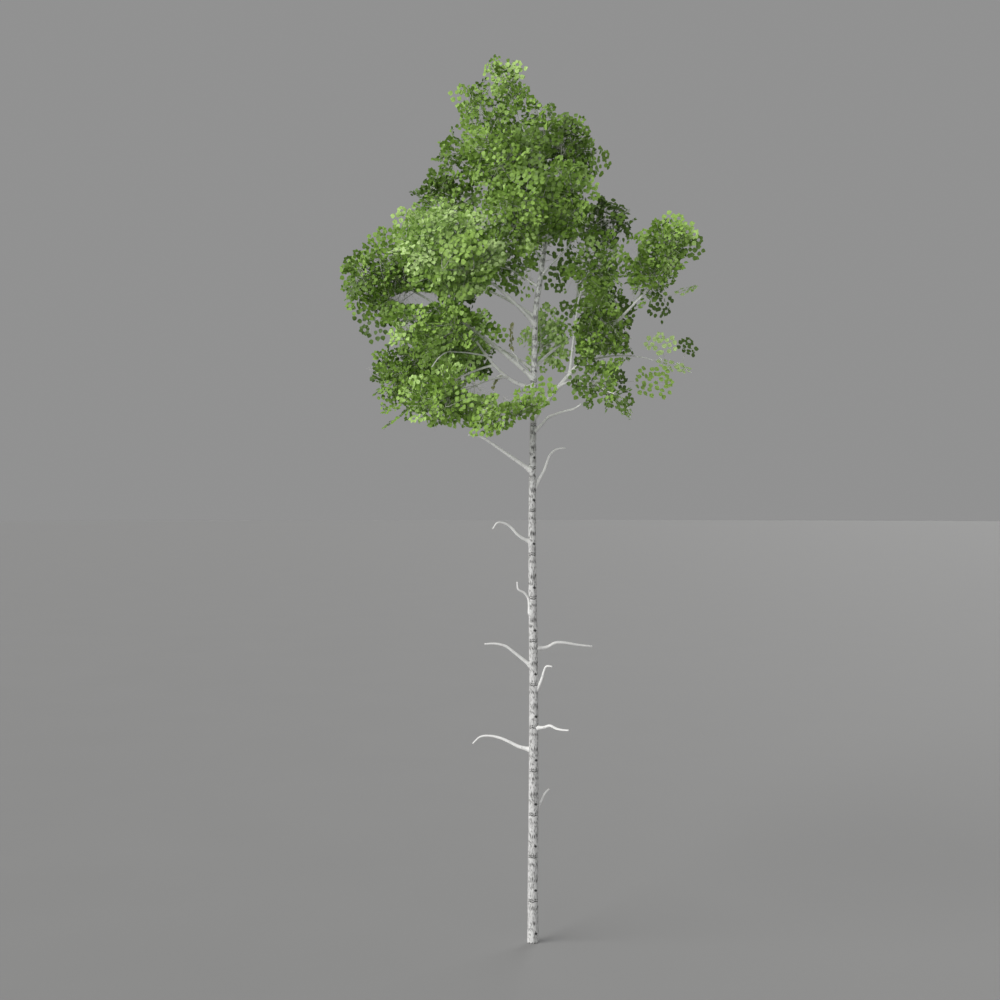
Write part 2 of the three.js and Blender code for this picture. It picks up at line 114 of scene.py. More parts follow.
def noise(wire, scale, detail=3, stretch=(1, 1, 1), rough=0.55):
    place = wire.node("ShaderNodeVectorMath", {"operation": "MULTIPLY"}, {0: objectPlace(wire), 1: stretch})
    sockets = {"Vector": place, "Scale": scale, "Detail": detail, "Roughness": rough}
    return wire.node("ShaderNodeTexNoise", {}, sockets)


def between(value, low, high):  # 0 under low, 1 over high, smooth between
    return value.node("ShaderNodeMapRange", {"interpolation_type": "SMOOTHSTEP"},
                      {"Value": value, "From Min": low, "From Max": high})


def meshField(wire, name):  # a value kept at the mesh's points
    return wire.node("ShaderNodeAttribute", {"attribute_name": name}, {}, 2)


def surface(wire, color, rough, height, depth, gloss):
    bump = wire.node("ShaderNodeBump", {}, {"Height": height, "Distance": depth, "Strength": 0.7})
    sockets = {"Base Color": color, "Roughness": rough, "Normal": bump, "Specular IOR Level": gloss}
    shader = wire.node("ShaderNodeBsdfPrincipled", {}, sockets)
    wire.node("ShaderNodeOutputMaterial", {}, {"Surface": shader})


# lines in space

up = np.array([0.0, 0.0, 1.0])
rightward = np.array([1.0, 0.0, 0.0])


def lerp(a, b, share):
    return a + (b - a) * share


def unit(v):
    return v / norm(v, axis=-1, keepdims=True)


def turned(v, axis, angle):  # v turned about a unit axis
    c = cos(angle)
    s = sin(angle)
    return v * c + np.cross(axis, v) * s + axis * (np.dot(axis, v) * (1 - c))


class Path:  # a line read by its share of length
    def __init__(self, points):
        self.points = np.asarray(points, float)
        steps = norm(np.diff(self.points, axis=0), axis=1)
        self.run = np.concatenate([[0.0], np.cumsum(steps)])
        self.length = self.run[-1]

    def at(self, share):
        where = np.asarray(share) * self.length
        return np.stack([np.interp(where, self.run, self.points[:, k]) for k in range(3)], -1)

    def heading(self, share, near=0.004):
        return unit(self.at(min(share + near, 1.0)) - self.at(max(share - near, 0.0)))


def easyCurve(foot, bend, tip, count=90):
    t = np.linspace(0, 1, count)[:, None]
    return Path((1 - t) ** 2 * foot + 2 * (1 - t) * t * bend + t ** 2 * tip)


def throughPoints(points, count=40):  # a smooth line through points
    points = np.asarray(points, float)
    points = np.vstack([2 * points[0] - points[1], points, 2 * points[-1] - points[-2]])
    t = np.linspace(0, 1, count, endpoint=False)[:, None]
    line = []
    for p0, p1, p2, p3 in zip(points, points[1:], points[2:], points[3:]):
        d0, d1, d2 = [sqrt(norm(b - a)) for a, b in ((p0, p1), (p1, p2), (p2, p3))]
        m1 = ((p1 - p0) / d0 - (p2 - p0) / (d0 + d1) + (p2 - p1) / d1) * d1
        m2 = ((p2 - p1) / d1 - (p3 - p1) / (d1 + d2) + (p3 - p2) / d2) * d1
        squared, cubed = 3 * (p2 - p1) - 2 * m1 - m2, 2 * (p1 - p2) + m1 + m2
        line.append(p1 + m1 * t + squared * t ** 2 + cubed * t ** 3)
    return Path(np.vstack([*line, points[-2:-1]]))


def sideOf(ahead):  # a direction square to a heading
    level = np.where(np.abs(ahead[..., 2:]) < 0.9, up, rightward)
    return unit(np.cross(ahead, level))


def carriedFrames(points):  # two directions square to a line, untwisted
    ahead = unit(np.gradient(points, axis=0))
    side = sideOf(ahead[0])
    sides = []
    for direction in ahead:
        side = unit(side - direction * np.dot(side, direction))
        sides.append(side)
    return np.array(sides), np.cross(ahead, sides)


def ripples(angle, along, seed, pace):  # an uneven surface from a few seeded waves, about -1 to 1
    draw = np.random.default_rng(seed)
    total = 0
    for k in range(7):
        waves = draw.integers(1, 6)
        total = total + np.sin(waves * angle + draw.uniform(-1, 1) * pace * along + draw.uniform(0, 6.3))
    return total / 4.5


# meshes

def turnsOf(rings, sides):  # the bearing of each point in rings of points
    return np.broadcast_to(np.arange(sides) * 2 * pi / sides, (rings, sides))


def ringed(middle, across, over, radius):  # rings of points round a line
    angle = turnsOf(1, radius.shape[1])[..., None]
    around = across[:, None] * np.cos(angle) + over[:, None] * np.sin(angle)
    return middle[:, None] + around * radius[..., None]


def closed(grid, ends):  # a skin over rings, with a point in the middle of each end
    rings, sides = grid.shape[:2]
    ring = np.arange(rings - 1)[:, None] * sides
    side = np.arange(sides)
    beside = (side + 1) % sides
    a, b = ring + side, ring + beside
    c, d = b + sides, a + sides
    foot = np.full(sides, rings * sides)
    corners = [(a, b, c), (a, c, d), (beside, side, foot), (foot + 1, d[-1], c[-1])]
    faces = np.concatenate([np.stack(three, -1).reshape(-1, 3) for three in corners])
    return np.concatenate([grid.reshape(-1, 3), ends]), faces


def tube(points, radii, sides):  # a plain closed tube, for thin twigs
    radius = np.repeat(radii[:, None], sides, axis=1)
    return closed(ringed(points, *carriedFrames(points), radius), points[[0, -1]])


def shoots(ends, radius):  # three-sided straight rods, all at once
    feet, tips = ends[:, 0], ends[:, 1]
    ahead = unit(tips - feet)
    across = sideOf(ahead)
    over = np.cross(ahead, across)
    thick = np.full((len(ends), 3), radius)
    verts = np.concatenate([ringed(feet, across, over, thick), ringed(tips, across, over, thick * 0.7)], 1)
    rod = np.array([(0, 2, 1), (3, 4, 5), (0, 1, 4), (0, 4, 3), (1, 2, 5), (1, 5, 4), (2, 0, 3), (2, 3, 5)])
    return repeated(verts, rod)


def repeated(verts, faces):  # many copies of one small mesh, each at its own points
    starts = np.arange(len(verts))[:, None, None] * verts.shape[1]
    return verts.reshape(-1, 3), (faces + starts).reshape(-1, 3)


def joined(parts):
    starts = np.cumsum([0] + [len(verts) for verts, faces in parts])
    verts = np.concatenate([verts for verts, faces in parts])
    return verts, np.concatenate([faces + start for (v, faces), start in zip(parts, starts)])


def addObject(name, data):
    made = bpy.data.objects.new(name, data)
    bpy.context.scene.collection.objects.link(made)
    return made


def makePiece(name, verts, faces, material, slot, nodes=(), fields={}):
    mesh = bpy.data.meshes.new(name)
    mesh.from_pydata(verts.tolist(), [], faces.tolist())
    mesh.shade_smooth()
    for field, values in fields.items():
        layer = mesh.attributes.new(field, "FLOAT", "POINT")
        layer.data.foreach_set("value", np.asarray(values, np.float32).ravel())
    mesh.materials.append(material)
    piece = addObject(name, mesh)
    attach(piece, "root")
    if nodes:
        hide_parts(*nodes)


def barkPiece(name, grid, ends, dark, material, slot):
    verts, faces = closed(grid, ends)
    makePiece(name + "_bark", verts, faces, material, slot, [name], {"dark": dark})
    return len(faces)


# trunk

trunkShape = {
    "footDiameter": 0.148, "flareDiameter": 0.014, "flareHeight": 0.15,
    "forkHeight": 9.1, "forkDiameter": 0.068, "topHeight": 11.33, "topDiameter": 0.018, "taperPower": 1.25,
    "sway": [  # the middle of the trunk
        (0, 0, 0), (0, 0, 0.7), (0.011, -0.006, 3.3), (-0.01, 0.004, 5.5), (0.008, 0, 7.4),
        (0.024, 0.006, 8.2), (0.045, 0.008, 8.65), (0.122, 0.01, 9.15), (0.158, 0.005, 9.65),
        (0.05, 0, 10.5), (-0.24, 0, 11.33),
    ],
    "sides": 64, "rings": 1500, "swells": ((11, 3, 0.018), (12, 16, 0.012)),  # seed, pace, size
    "toes": 5, "toeSize": 0.02, "toeHeight": 0.07, "limbSwell": 0.16, "browDark": 0.5,
}
barkMarks = {
    "first": 0.136, "every": 0.585, "last": 10.6,  # heights of the eyes
    "columns": ((-60, 0.0), (120, 0.31)),  # bearing of each row of eyes, and its lift
    "reach": 0.32, "eye": (0.032, 0.025), "eyeDepth": 0.005, "eyeLean": 0.25, "eyeEdge": 1.4,
    "folds": ((-0.124, 0.3), (-0.150, 0.1)),  # height from the eye, how broken
    "foldWave": 0.005, "foldHalf": 0.0095, "foldDepth": 0.002, "foldDark": 0.92,
    "strokes": (  # height from the eye, count, first bearing, step, half width and height, slant, how dark
        (0.142, 5, -56, 19, (0.0068, 0.035), 0.16, 1.0),
        (0.055, 5, -95, 15, (0.0062, 0.022), 0.7, 0.82),
        (-0.245, 7, -85, 18, (0.0062, 0.027), 0.4, 0.86),
    ),
    "strokeDepth": 0.0012, "seed": 58,
    "dots": (  # count, size, height to width, how dark, between which bearings
        (3, 0.011, 1.4, 0.7, (0.5, 1.3)),
        (8, 0.0066, 2.4, 0.52, (-1.7, 1.7)),
        (4, 0.026, 2.2, 0.3, (-1.7, 1.7)),
    ),
}
trunkPath = throughPoints(trunkShape["sway"])


def trunkAt(height):
    line = trunkPath.points
    return np.array([np.interp(height, line[:, 2], line[:, k]) for k in range(3)])


def trunkRadius(z):
    shape = trunkShape
    lower = np.minimum(np.maximum(z, 0) / shape["forkHeight"], 1) ** shape["taperPower"]
    upper = np.maximum(z - shape["forkHeight"], 0) / (shape["topHeight"] - shape["forkHeight"])
    diameter = lerp(lerp(shape["footDiameter"], shape["forkDiameter"], lower), shape["topDiameter"], upper)
    return (diameter + shape["flareDiameter"] * np.exp(-z / shape["flareHeight"])) / 2


def wrapped(angle):
    return (angle + pi) % (2 * pi) - pi


def hill(a, b=0):  # 1 in the middle, falling off both ways
    return np.exp(-a ** 2 - b ** 2)


def paintMarks(angle, height, radius):  # how dark and how sunk the bark is
    draw = np.random.default_rng(barkMarks["seed"])
    dark, sunk = np.zeros((2, *height.shape))
    reach = np.array([-1, 1]) * barkMarks["reach"]
    for bearing, lift in barkMarks["columns"]:
        for level in np.arange(barkMarks["first"] + lift, barkMarks["last"], barkMarks["every"]):
            level = level + draw.uniform(-0.012, 0.012)
            turn = angle - radians(bearing + draw.uniform(-4, 4))
            rows = slice(*np.searchsorted(height[:, 0], level + reach))
            paintCell(turn[rows], height[rows] - level, radius[rows], dark[rows], sunk[rows], draw)
    return dark, sunk


def paintCell(turn, above, radius, dark, sunk, draw):  # one eye with the folds and strokes round it
    slim = np.sqrt(radius / (trunkShape["footDiameter"] / 2))  # marks shrink with the trunk
    wide, tall = np.array(barkMarks["eye"]) * draw.uniform(0.85, 1.1)
    aside = wrapped(turn) * radius / slim
    close = np.abs(aside + above * barkMarks["eyeLean"]) / wide + np.abs(above) / tall
    np.maximum(dark, np.clip(barkMarks["eyeEdge"] - close, 0, 1), out=dark)
    ring = np.sqrt((aside / wide) ** 2 + (above / tall) ** 2)
    lips = 0.8 * np.exp(-(ring - 1.25) ** 2 * 6)
    sunk += barkMarks["eyeDepth"] * slim * (lips - np.exp(-ring ** 2 * 2.5))
    spread = wrapped(turn + 0.55)
    phase = draw.uniform(0, 6.3)
    wave = np.sin(spread * 5 + phase) + 0.6 * np.sin(spread * 11 + 2 * phase)
    thick = barkMarks["foldHalf"] * (0.9 + 0.2 * np.sin(spread * 8 + phase))
    for fold, broken in barkMarks["folds"]:  # wavy folds across the trunk
        near = hill((above - fold - barkMarks["foldWave"] * wave) / thick)
        gone = broken * (1 + np.sin(spread * 13 + phase))
        near *= np.clip(2.5 - np.abs(spread) * 1.75, 0, 1) * (1 - gone)
        np.maximum(dark, near * barkMarks["foldDark"], out=dark)
        sunk -= barkMarks["foldDepth"] * near
    for start, count, first, step, half, slant, strong in barkMarks["strokes"]:
        for i in range(count):
            off = radians(first + step * i + draw.uniform(-4, 4))
            rise = above - start - draw.uniform(-0.012, 0.012)
            thin, long = np.array(half) * draw.uniform(0.75, 1.25, 2)
            aside = wrapped(turn - off) * radius + rise * slant
            near = hill(aside / thin, rise / long)
            np.maximum(dark, near * strong * draw.uniform(0.7, 1), out=dark)
            sunk -= barkMarks["strokeDepth"] * near
    for count, size, tall, strong, bearings in barkMarks["dots"]:
        for i in range(count):
            off = draw.uniform(*bearings)
            rise = above - draw.uniform(-0.29, 0.29)
            half = size * draw.uniform(0.7, 1.4)
            near = hill(wrapped(turn - off) * radius / half, rise / half / tall)
            np.maximum(dark, near * strong, out=dark)


def buildTrunk(material, rootsOn):
    shape = trunkShape
    middle = trunkPath.at(np.linspace(0, 1, shape["rings"]))
    angle = turnsOf(shape["rings"], shape["sides"])
    height = np.broadcast_to(middle[:, 2:], angle.shape)
    radius = trunkRadius(height)
    dark, sunk = paintMarks(angle, height, radius)
    swell = sum(ripples(angle, height, seed, pace) * size for seed, pace, size in shape["swells"])
    toes = shape["toeSize"] * np.cos(shape["toes"] * angle + 0.6) * np.exp(-height / shape["toeHeight"])
    for level, bearing, girth in rootsOn:  # the trunk swells round the foot of each limb
        aside = wrapped(angle - bearing) * radius / girth
        rise = (height - level) / girth
        sunk = sunk + hill(aside, (rise - 0.3) / 1.2) * girth * shape["limbSwell"]
        dark = np.maximum(dark, hill(aside / 1.5, (rise - 1.6) / 0.35) * shape["browDark"])
    grown = radius * (1 + swell + toes) + sunk
    grid = ringed(middle, rightward[None], np.cross(up, rightward)[None], grown)
    ends = np.stack([middle[0], middle[-1] + up * 0.004])
    count = barkPiece("trunk", grid, ends, np.append(dark, (0, 0)), material, "trunk_bark")
    print("trunk:", count, "triangles")


trunkFinish = {
    "pale": (0.755, 0.755, 0.748, 1), "grey": (0.54, 0.54, 0.534, 1), "tick": (0.15, 0.15, 0.146, 1),
    "palest": (0.95, 0.95, 0.94, 1), "paler": (0.78, 0.78, 0.77, 1), "crown": (6.7, 8.0),
    "mark": (0.024, 0.024, 0.023, 1), "roughness": 0.66,
}


def trunkBark():
    look = trunkFinish
    material, wire = newMaterial("trunk_bark")
    clouds = between(noise(wire, 11, 4, (1, 1, 0.5)), 0.36, 0.7)
    rows = between(noise(wire, 1.0, 2, (3, 3, 30)), 0.4, 0.62)
    ticks = between(noise(wire, 74, 2, (1, 1, 0.27), 0.45), 0.51, 0.6) * (0.45 + 0.55 * rows)
    grain = noise(wire, 160)
    dark = meshField(wire, "dark")
    ragged = noise(wire, 70, 3, (1, 1, 0.8)) - 0.5
    soft = between(dark + ragged * 0.2, 0.05, 0.5)
    marks = between(dark + ragged * 0.24, 0.24, 0.78)
    # painted light, in part: the bark turns whiter and less marked through the crown's height, where the
    # leaves shade the trunk
    high = between(wire.node("ShaderNodeSeparateXYZ", {}, {0: objectPlace(wire)}, 2), *look["crown"])
    marks = marks * (1.0 - 0.45 * high)  # younger bark is whiter, with fewer marks; the whiter bark through the crown is also painted light over the leaves' shade
    pale = mixColor(high, look["pale"], look["palest"])
    grey = mixColor(high, look["grey"], look["paler"])
    color = mixColor(clouds * 0.55, pale, grey)
    color = mixColor(ticks * 0.8, color, look["tick"])
    color = mixColor(soft * 0.45, color, look["tick"])
    color = mixColor(marks * 0.92, color, look["mark"])
    rough = look["roughness"] + 0.16 * marks + 0.1 * (grain - 0.5)
    surface(wire, color, rough, grain * 0.35 - ticks * 0.4 - marks * 0.6, 0.0025, 0.3)
    return material


# boughs and dead limbs

boughShapes = {  # on what, height there or share of its length, tip, diameters at foot and tip, bow
    "bough_right_long": ("trunk", 7.12, (1.55, -0.05, 8.84), (0.068, 0.028), 0.09),
    "bough_right_rising": ("bough_right_long", 0.33, (0.6, -0.11, 8.64), (0.036, 0.024), 0),
    "bough_right_low": ("bough_right_long", 0.24, (0.65, -0.43, 7.57), (0.034, 0.022), 0.06),
    "bough_right_level": ("bough_right_long", 0.4, (1.48, 0.2, 7.96), (0.034, 0.02), 0.13),
    "bough_right_front": ("bough_right_long", 0.52, (0.9, -0.29, 8.12), (0.032, 0.022), 0),
    "bough_left_long": ("trunk", 7.64, (-1.64, 0.05, 8.85), (0.062, 0.026), 0.15),
    "bough_left_low": ("trunk", 7.535, (-0.745, -0.25, 8.1), (0.058, 0.026), -0.3),
    "bough_left_level": ("bough_left_low", 0.64, (-1.01, 0.06, 7.66), (0.034, 0.022), 0.04),
    "bough_left_front": ("bough_left_low", 0.4, (-0.7, -0.55, 7.54), (0.034, 0.022), 0.04),
    "bough_left_middle": ("trunk", 8.38, (-0.56, -0.38, 8.89), (0.06, 0.028), 0.06),
    "bough_front_low": ("trunk", 7.29, (-0.19, -0.64, 7.23), (0.038, 0.022), 0.06),
    "bough_right_slim": ("trunk", 9.035, (0.455, -0.15, 9.395), (0.036, 0.022), 0),
    "leader_right": ("trunk", 9.0, (0.38, 0.3, 10.62), (0.046, 0.024), 0.06),
    "bough_back_right": ("leader_right", 0.36, (0.76, 0.85, 9.8), (0.032, 0.022), 0),
    "bough_back_right_low": ("trunk", 7.8, (0.56, 0.8, 8.3), (0.046, 0.026), 0.05),
    "bough_back_left": ("trunk", 8.48, (-0.65, 0.62, 8.95), (0.048, 0.026), 0.06),
    "bough_back_left_low": ("trunk", 7.76, (-0.52, 0.7, 8.15), (0.046, 0.026), 0.05),
}
deadShapes = {  # on what, height there or share, heading, length, diameters, slope of each stretch
    "dead_limb_01": ("trunk", 6.915, -15, 0.74, (0.042, 0.018), (42, 47, 22, 17, 13, 32)),
    "dead_limb_02": ("trunk", 6.39, 190, 0.97, (0.054, 0.019), (33, 34, 34, 34, 29, 8)),
    "dead_limb_03": ("trunk", 6.15, 15, 0.73, (0.044, 0.018), (60, 60, 69, 67, 38, 8)),
    "dead_limb_04": ("trunk", 5.42, 200, 0.64, (0.042, 0.018), (24, 37, 47, 32, 5, -50)),
    "dead_limb_05": ("trunk", 4.435, 200, 0.49, (0.04, 0.019), (84, 82, 52, 30, 81)),
    "dead_limb_06": ("trunk", 3.985, 12, 0.78, (0.046, 0.02), (4, 25, 0, -10, -9, -6)),
    "dead_limb_07": ("trunk", 3.72, 188, 0.715, (0.046, 0.019), (39, 39, 36, 14, -1)),
    "dead_limb_08": ("trunk", 3.4, -20, 0.42, (0.042, 0.019), (61, 68, 74, 64, 2)),
    "dead_limb_09": ("trunk", 2.905, -32, 0.49, (0.044, 0.019), (8, 18, -18, -6, 2)),
    "dead_limb_10": ("trunk", 2.6, 170, 0.845, (0.05, 0.017), (13, 24, 22, 10, -7, -42)),
    "dead_limb_11": ("trunk", 1.755, 25, 0.32, (0.04, 0.019), (58, 60, 60, 40)),
    "dead_twig_hooked": ("bough_left_low", 0.47, 205, 0.34, (0.02, 0.011), (-25, -50, -80, -105)),
    "dead_twig_arched": ("bough_left_low", 0.8, 214, 0.94, (0.02, 0.011), (4, 4, 0, -4, -34, -50)),
    "dead_twig_upright": ("bough_left_long", 0.14, 180, 0.56, (0.02, 0.011), (80, 52, 88, 94, 92)),
}
limbLook = {
    "spacing": 0.011, "boughSides": 22, "deadSides": 18, "collar": 0.5, "steepestRoot": 40,
    "deadBark": 1.14,  # flaking bark stands a little proud of the dead wood
    "budStep": 0.085, "budHalf": 0.007, "budRelief": 0.09, "knotStep": 0.16, "knotRelief": 0.2,
    "boughRough": 0.035, "deadRough": 0.05, "firstSeed": 300, "seedStep": 5,
}
limbs = {}


def rootOf(on, place):
    if on == "trunk":
        root = trunkAt(place)
        return root, trunkRadius(root[2])
    carrier = limbs[on]
    foot, tip = carrier["girth"]
    return carrier["path"].at(place), lerp(foot, tip, place) / 2


def addLimb(name, path, girth, on, sunkIn):
    limbs[name] = {"path": path, "girth": girth, "on": on, "sunkIn": sunkIn, "dead": name in deadShapes}


def layLimbs():
    for name, (on, place, tip, girth, bow) in boughShapes.items():
        root, sunkIn = rootOf(on, place)
        tip = np.array(tip)
        addLimb(name, easyCurve(root, (root + tip) / 2 + up * bow, tip), girth, on, sunkIn)
    for name, (on, place, heading, length, girth, slopes) in deadShapes.items():
        root, sunkIn = rootOf(on, place)
        level = np.array([cos(radians(heading)), sin(radians(heading)), 0])
        stretches = [(length / len(slopes), slope) for slope in slopes]
        if on == "trunk":
            stretches.insert(0, (sunkIn, min(slopes[0], limbLook["steepestRoot"])))
        points = [root]
        for step, slope in stretches:
            rise = radians(slope)
            points.append(points[-1] + step * (level * cos(rise) + up * sin(rise)))
        addLimb(name, throughPoints(points), girth, on, sunkIn)


def buildLimb(name, limb, material, slot, seed):
    path, dead, sunkIn = limb["path"], limb["dead"], limb["sunkIn"]
    foot, tip = np.array(limb["girth"]) / 2
    rings = max(12, round(path.length / limbLook["spacing"]))
    share = np.linspace(0, 1, rings)
    middle = path.at(share)
    angle = turnsOf(rings, limbLook["deadSides" if dead else "boughSides"])
    along = np.broadcast_to((share * path.length)[:, None], angle.shape)
    past = np.maximum((along - sunkIn) / (foot * 0.9 + 0.006), 0)
    radius = lerp(foot, tip, share)[:, None] * (1 + limbLook["collar"] * np.exp(-past ** 1.3))
    radius = radius * (limbLook["deadBark"] if dead else 1)
    draw = np.random.default_rng(seed)
    folds = np.zeros_like(radius)
    for level in np.arange(sunkIn + 0.05, path.length, limbLook["budStep"]):  # old bud rings
        level = level + draw.uniform(-0.03, 0.03)
        off = along - level - 0.004 * np.sin(2 * angle + draw.uniform(0, 6))
        folds = np.maximum(folds, hill(off / limbLook["budHalf"]) * draw.uniform(0.3, 1))
    knots = np.zeros_like(radius)
    for i in range(max(2, round(path.length / limbLook["knotStep"]))):
        level = draw.uniform(sunkIn + 0.03, path.length * 0.97)
        aside = wrapped(angle - draw.uniform(0, 6.3)) * radius
        size = draw.uniform(0.35, 0.7) * radius
        knots = np.maximum(knots, hill(aside / size, (along - level) / size / 1.3))
    relief = ripples(angle, along, seed + 1, 22) * limbLook["deadRough" if dead else "boughRough"]
    if dead:  # long ridges of dry wood
        relief = relief + ripples(angle * 3, along, seed + 2, 5) * limbLook["deadRough"]
    radius = radius * (1 + relief + limbLook["budRelief"] * folds + limbLook["knotRelief"] * knots)
    grid = ringed(middle, *carriedFrames(middle), radius)
    ahead = path.heading(1.0)
    if dead:  # snapped off, not sawn
        for ring, ragged in ((-1, (-0.3, 0.9)), (-2, (-0.1, 0.4))):
            grid[ring] += ahead * (draw.uniform(*ragged, grid.shape[1]) * tip)[:, None]
    ends = np.stack([middle[0], middle[-1] + ahead * tip * (0.1 if dead else 0.6)])
    dark = np.append(np.clip(0.55 * folds + 0.8 * knots, 0, 1), (0, 0.8 if dead else 0))
    return barkPiece(name, grid, ends, dark, material, slot)


boughFinish = {"pale": (0.92, 0.92, 0.905, 1), "grey": (0.74, 0.74, 0.725, 1),
               "mark": (0.15, 0.15, 0.145, 1), "roughness": 0.7, "marked": 0.5}
deadFinish = {"pale": (0.95, 0.95, 0.935, 1), "grey": (0.82, 0.82, 0.805, 1),
              "mark": (0.2, 0.198, 0.19, 1), "roughness": 0.8, "marked": 0.42}


def limbBark(name, look):
    material, wire = newMaterial(name)
    clouds = between(noise(wire, 14, 4), 0.36, 0.7)
    grain = noise(wire, 210, 4)
    marks = between(meshField(wire, "dark") + (grain - 0.5) * 0.6, 0.25, 0.8)
    color = mixColor(clouds * 0.7, look["pale"], look["grey"])
    color = mixColor(marks * look["marked"], color, look["mark"])
    rough = look["roughness"] + 0.14 * (grain - 0.5) + 0.1 * marks
    surface(wire, color, rough, grain * 0.6 - marks * 0.4, 0.002, 0.3)
    return material


layLimbs()
trunkRoots = []
for limb in limbs.values():
    if limb["on"] == "trunk":
        path = limb["path"]
        edge = path.at(min(limb["sunkIn"] * 1.2 / path.length, 1))
        leaving = edge - path.points[0]
        trunkRoots.append((edge[2], atan2(leaving[1], leaving[0]), limb["girth"][0] * 0.75))
buildTrunk(trunkBark(), trunkRoots)
boughBark = limbBark("bough_bark", boughFinish)
deadBark = limbBark("dead_bark", deadFinish)
count = 0
for i, (name, limb) in enumerate(limbs.items()):
    finish = (deadBark, "dead_wood") if limb["dead"] else (boughBark, "limb_bark")
    count += buildLimb(name, limb, *finish, limbLook["firstSeed"] + limbLook["seedStep"] * i)
print("limbs:", len(limbs), "pieces,", count, "triangles")


# crown: the spaces, stems and twigs follow the same rule and seeds as the solids

crownShapes = {  # bough or height on the trunk, middle, half width, half height, light (painted light or shade in the leaf tints), spray spacing
    "top": (11.33, (-0.335, 0, 11.62), 0.29, 0.56, 0.85, 0.07),
    "top_left": (10.56, (-0.68, -0.15, 11.2), 0.36, 0.47, 0.82, 0.08),
    "top_right": (10.33, (0.08, -0.12, 11.08), 0.36, 0.44, 0.72, 0.08),
    "leader_right": ("leader_right", (0.45, 0.85, 11.0), 0.5, 0.62, 0.35, 0.09),
    "upper_front": (9.95, (-0.44, -0.56, 10.45), 0.62, 0.58, 0.68, 0.09),
    "upper_left": (10.06, (-1.02, 0.15, 10.65), 0.37, 0.5, 0.5, 0.08),
    "left_shoulder": (9.56, (-1.25, 0.2, 10.23), 0.42, 0.43, 0.45, 0.08),
    "right_slim": ("bough_right_slim", (0.38, -0.5, 10.03), 0.54, 0.55, 0.8, 0.09),
    "middle_front": (9.21, (-0.26, -0.95, 9.68), 0.56, 0.44, 0.75, 0.09),
    "left_middle": ("bough_left_middle", (-1.14, -0.85, 9.31), 0.78, 0.72, 1.15, 0.09),
    "far_left": ("bough_left_long", (-2.02, -0.04, 8.98), 0.6, 0.7, 0.55, 0.09),
    "left_behind": (8.89, (-0.49, 0.48, 9.33), 0.58, 0.43, 0.5, 0.15),
    "back_right": ("bough_back_right", (1.13, 1.45, 10.07), 0.44, 0.46, 0.2, 0.1),
    "right_rising": ("bough_right_rising", (0.88, 0.06, 9.19), 0.5, 0.52, 0.85, 0.09),
    "far_right": ("bough_right_long", (1.73, -0.1, 9.27), 0.59, 0.62, 0.8, 0.09),
    "right_front": ("bough_right_front", (0.89, -0.4, 8.24), 0.51, 0.62, 0.6, 0.085),
    "right_low": ("bough_right_low", (0.9, -0.82, 7.43), 0.44, 0.35, 0.35, 0.17),
    "right_level": ("bough_right_level", (1.88, 0.35, 7.9), 0.47, 0.5, 0.8, 9),
    "behind_trunk": (7.9, (0.215, 0.76, 8.29), 0.39, 0.53, 1.3, 0.085),
    "left_low": ("bough_left_low", (-1.29, -0.36, 8.24), 0.78, 0.49, 0.85, 0.09),
    "left_level": ("bough_left_level", (-1.7, 0.24, 7.76), 0.58, 0.65, 0.55, 0.095),
    "left_front": ("bough_left_front", (-1.12, -0.9, 7.33), 0.64, 0.44, 0.78, 0.095),
    "front_low": ("bough_front_low", (-0.47, -1.42, 7.15), 0.59, 0.36, 0.62, 0.13),
    "upper_back": (10.28, (-0.24, 0.76, 10.9), 0.62, 0.6, 0.5, 0.1),
    "back_left": ("bough_back_left", (-1.31, 1.3, 9.41), 0.74, 0.66, 0.5, 0.1),
    "back_left_low": ("bough_back_left_low", (-1.11, 1.48, 8.2), 0.68, 0.52, 0.5, 0.1),
    "back_right_low": ("bough_back_right_low", (1.09, 1.48, 8.78), 0.45, 0.56, 0.25, 0.1),
    "back_middle": (9.75, (0.21, 1.38, 10.25), 0.6, 0.56, 0.5, 0.1),
}
growth = {
    "stemReach": 0.55, "stemEnd": 0.011, "trunkStem": 0.028, "topStem": 0.017,
    "twigLean": 0.75, "twigPlaces": (0.12, 0.94),
    "fewestTwigs": 4, "twigPatch": 0.42, "firstSeed": 101, "seedStep": 7,
    "sprayLength": 0.46, "sprayOfSpace": 0.8, "spraySpread": (0.85, 1.1), "longestEnd": 0.66,
    "sideAngle": 64, "sideStep": 0.035, "sideShare": 0.95, "shortest": 0.42,
    "spaceShare": 0.99, "spaceMargin": 0.003, "woodClearance": 0.02, "overhang": 0.03, "stemSway": 0.02,
    "proud": (0.11, 0.09, 0.03),  # how far leaves may pass the solids' box
    "lumps": 0.3, "fewestLeaves": 4, "twigBend": 0.1, "twigRise": 0.4, "sideStart": 30, "sideTurn": 120,
}
firstTwigs = {"girth": (0.0115, 0.0065), "apart": 1.0, "facing": 0.4, "leaf": 1.0, "step": 1.0, "wide": 0.4,
              "tilt": 0.26, "nod": 0.2}
looseTwigs = {"girth": (0.0085, 0.005), "leaf": 1.04, "step": 0.86, "axisStep": 0.085, "tilt": 0.24,
              "nod": 0.2, "seed": 93}
fineTwigs = {  # the finer twigs that branch from those
    "girth": (0.0062, 0.004), "apart": 1.25, "facing": 0.1, "leaf": 0.88, "step": 0.88, "wide": 0.4,
    "tilt": 0.45, "nod": 0.3,
    "ratio": 2.2, "nearest": 0.16, "seed": 5000, "depth": (0.62, 1.0), "size": (0.36, 0.46),
}
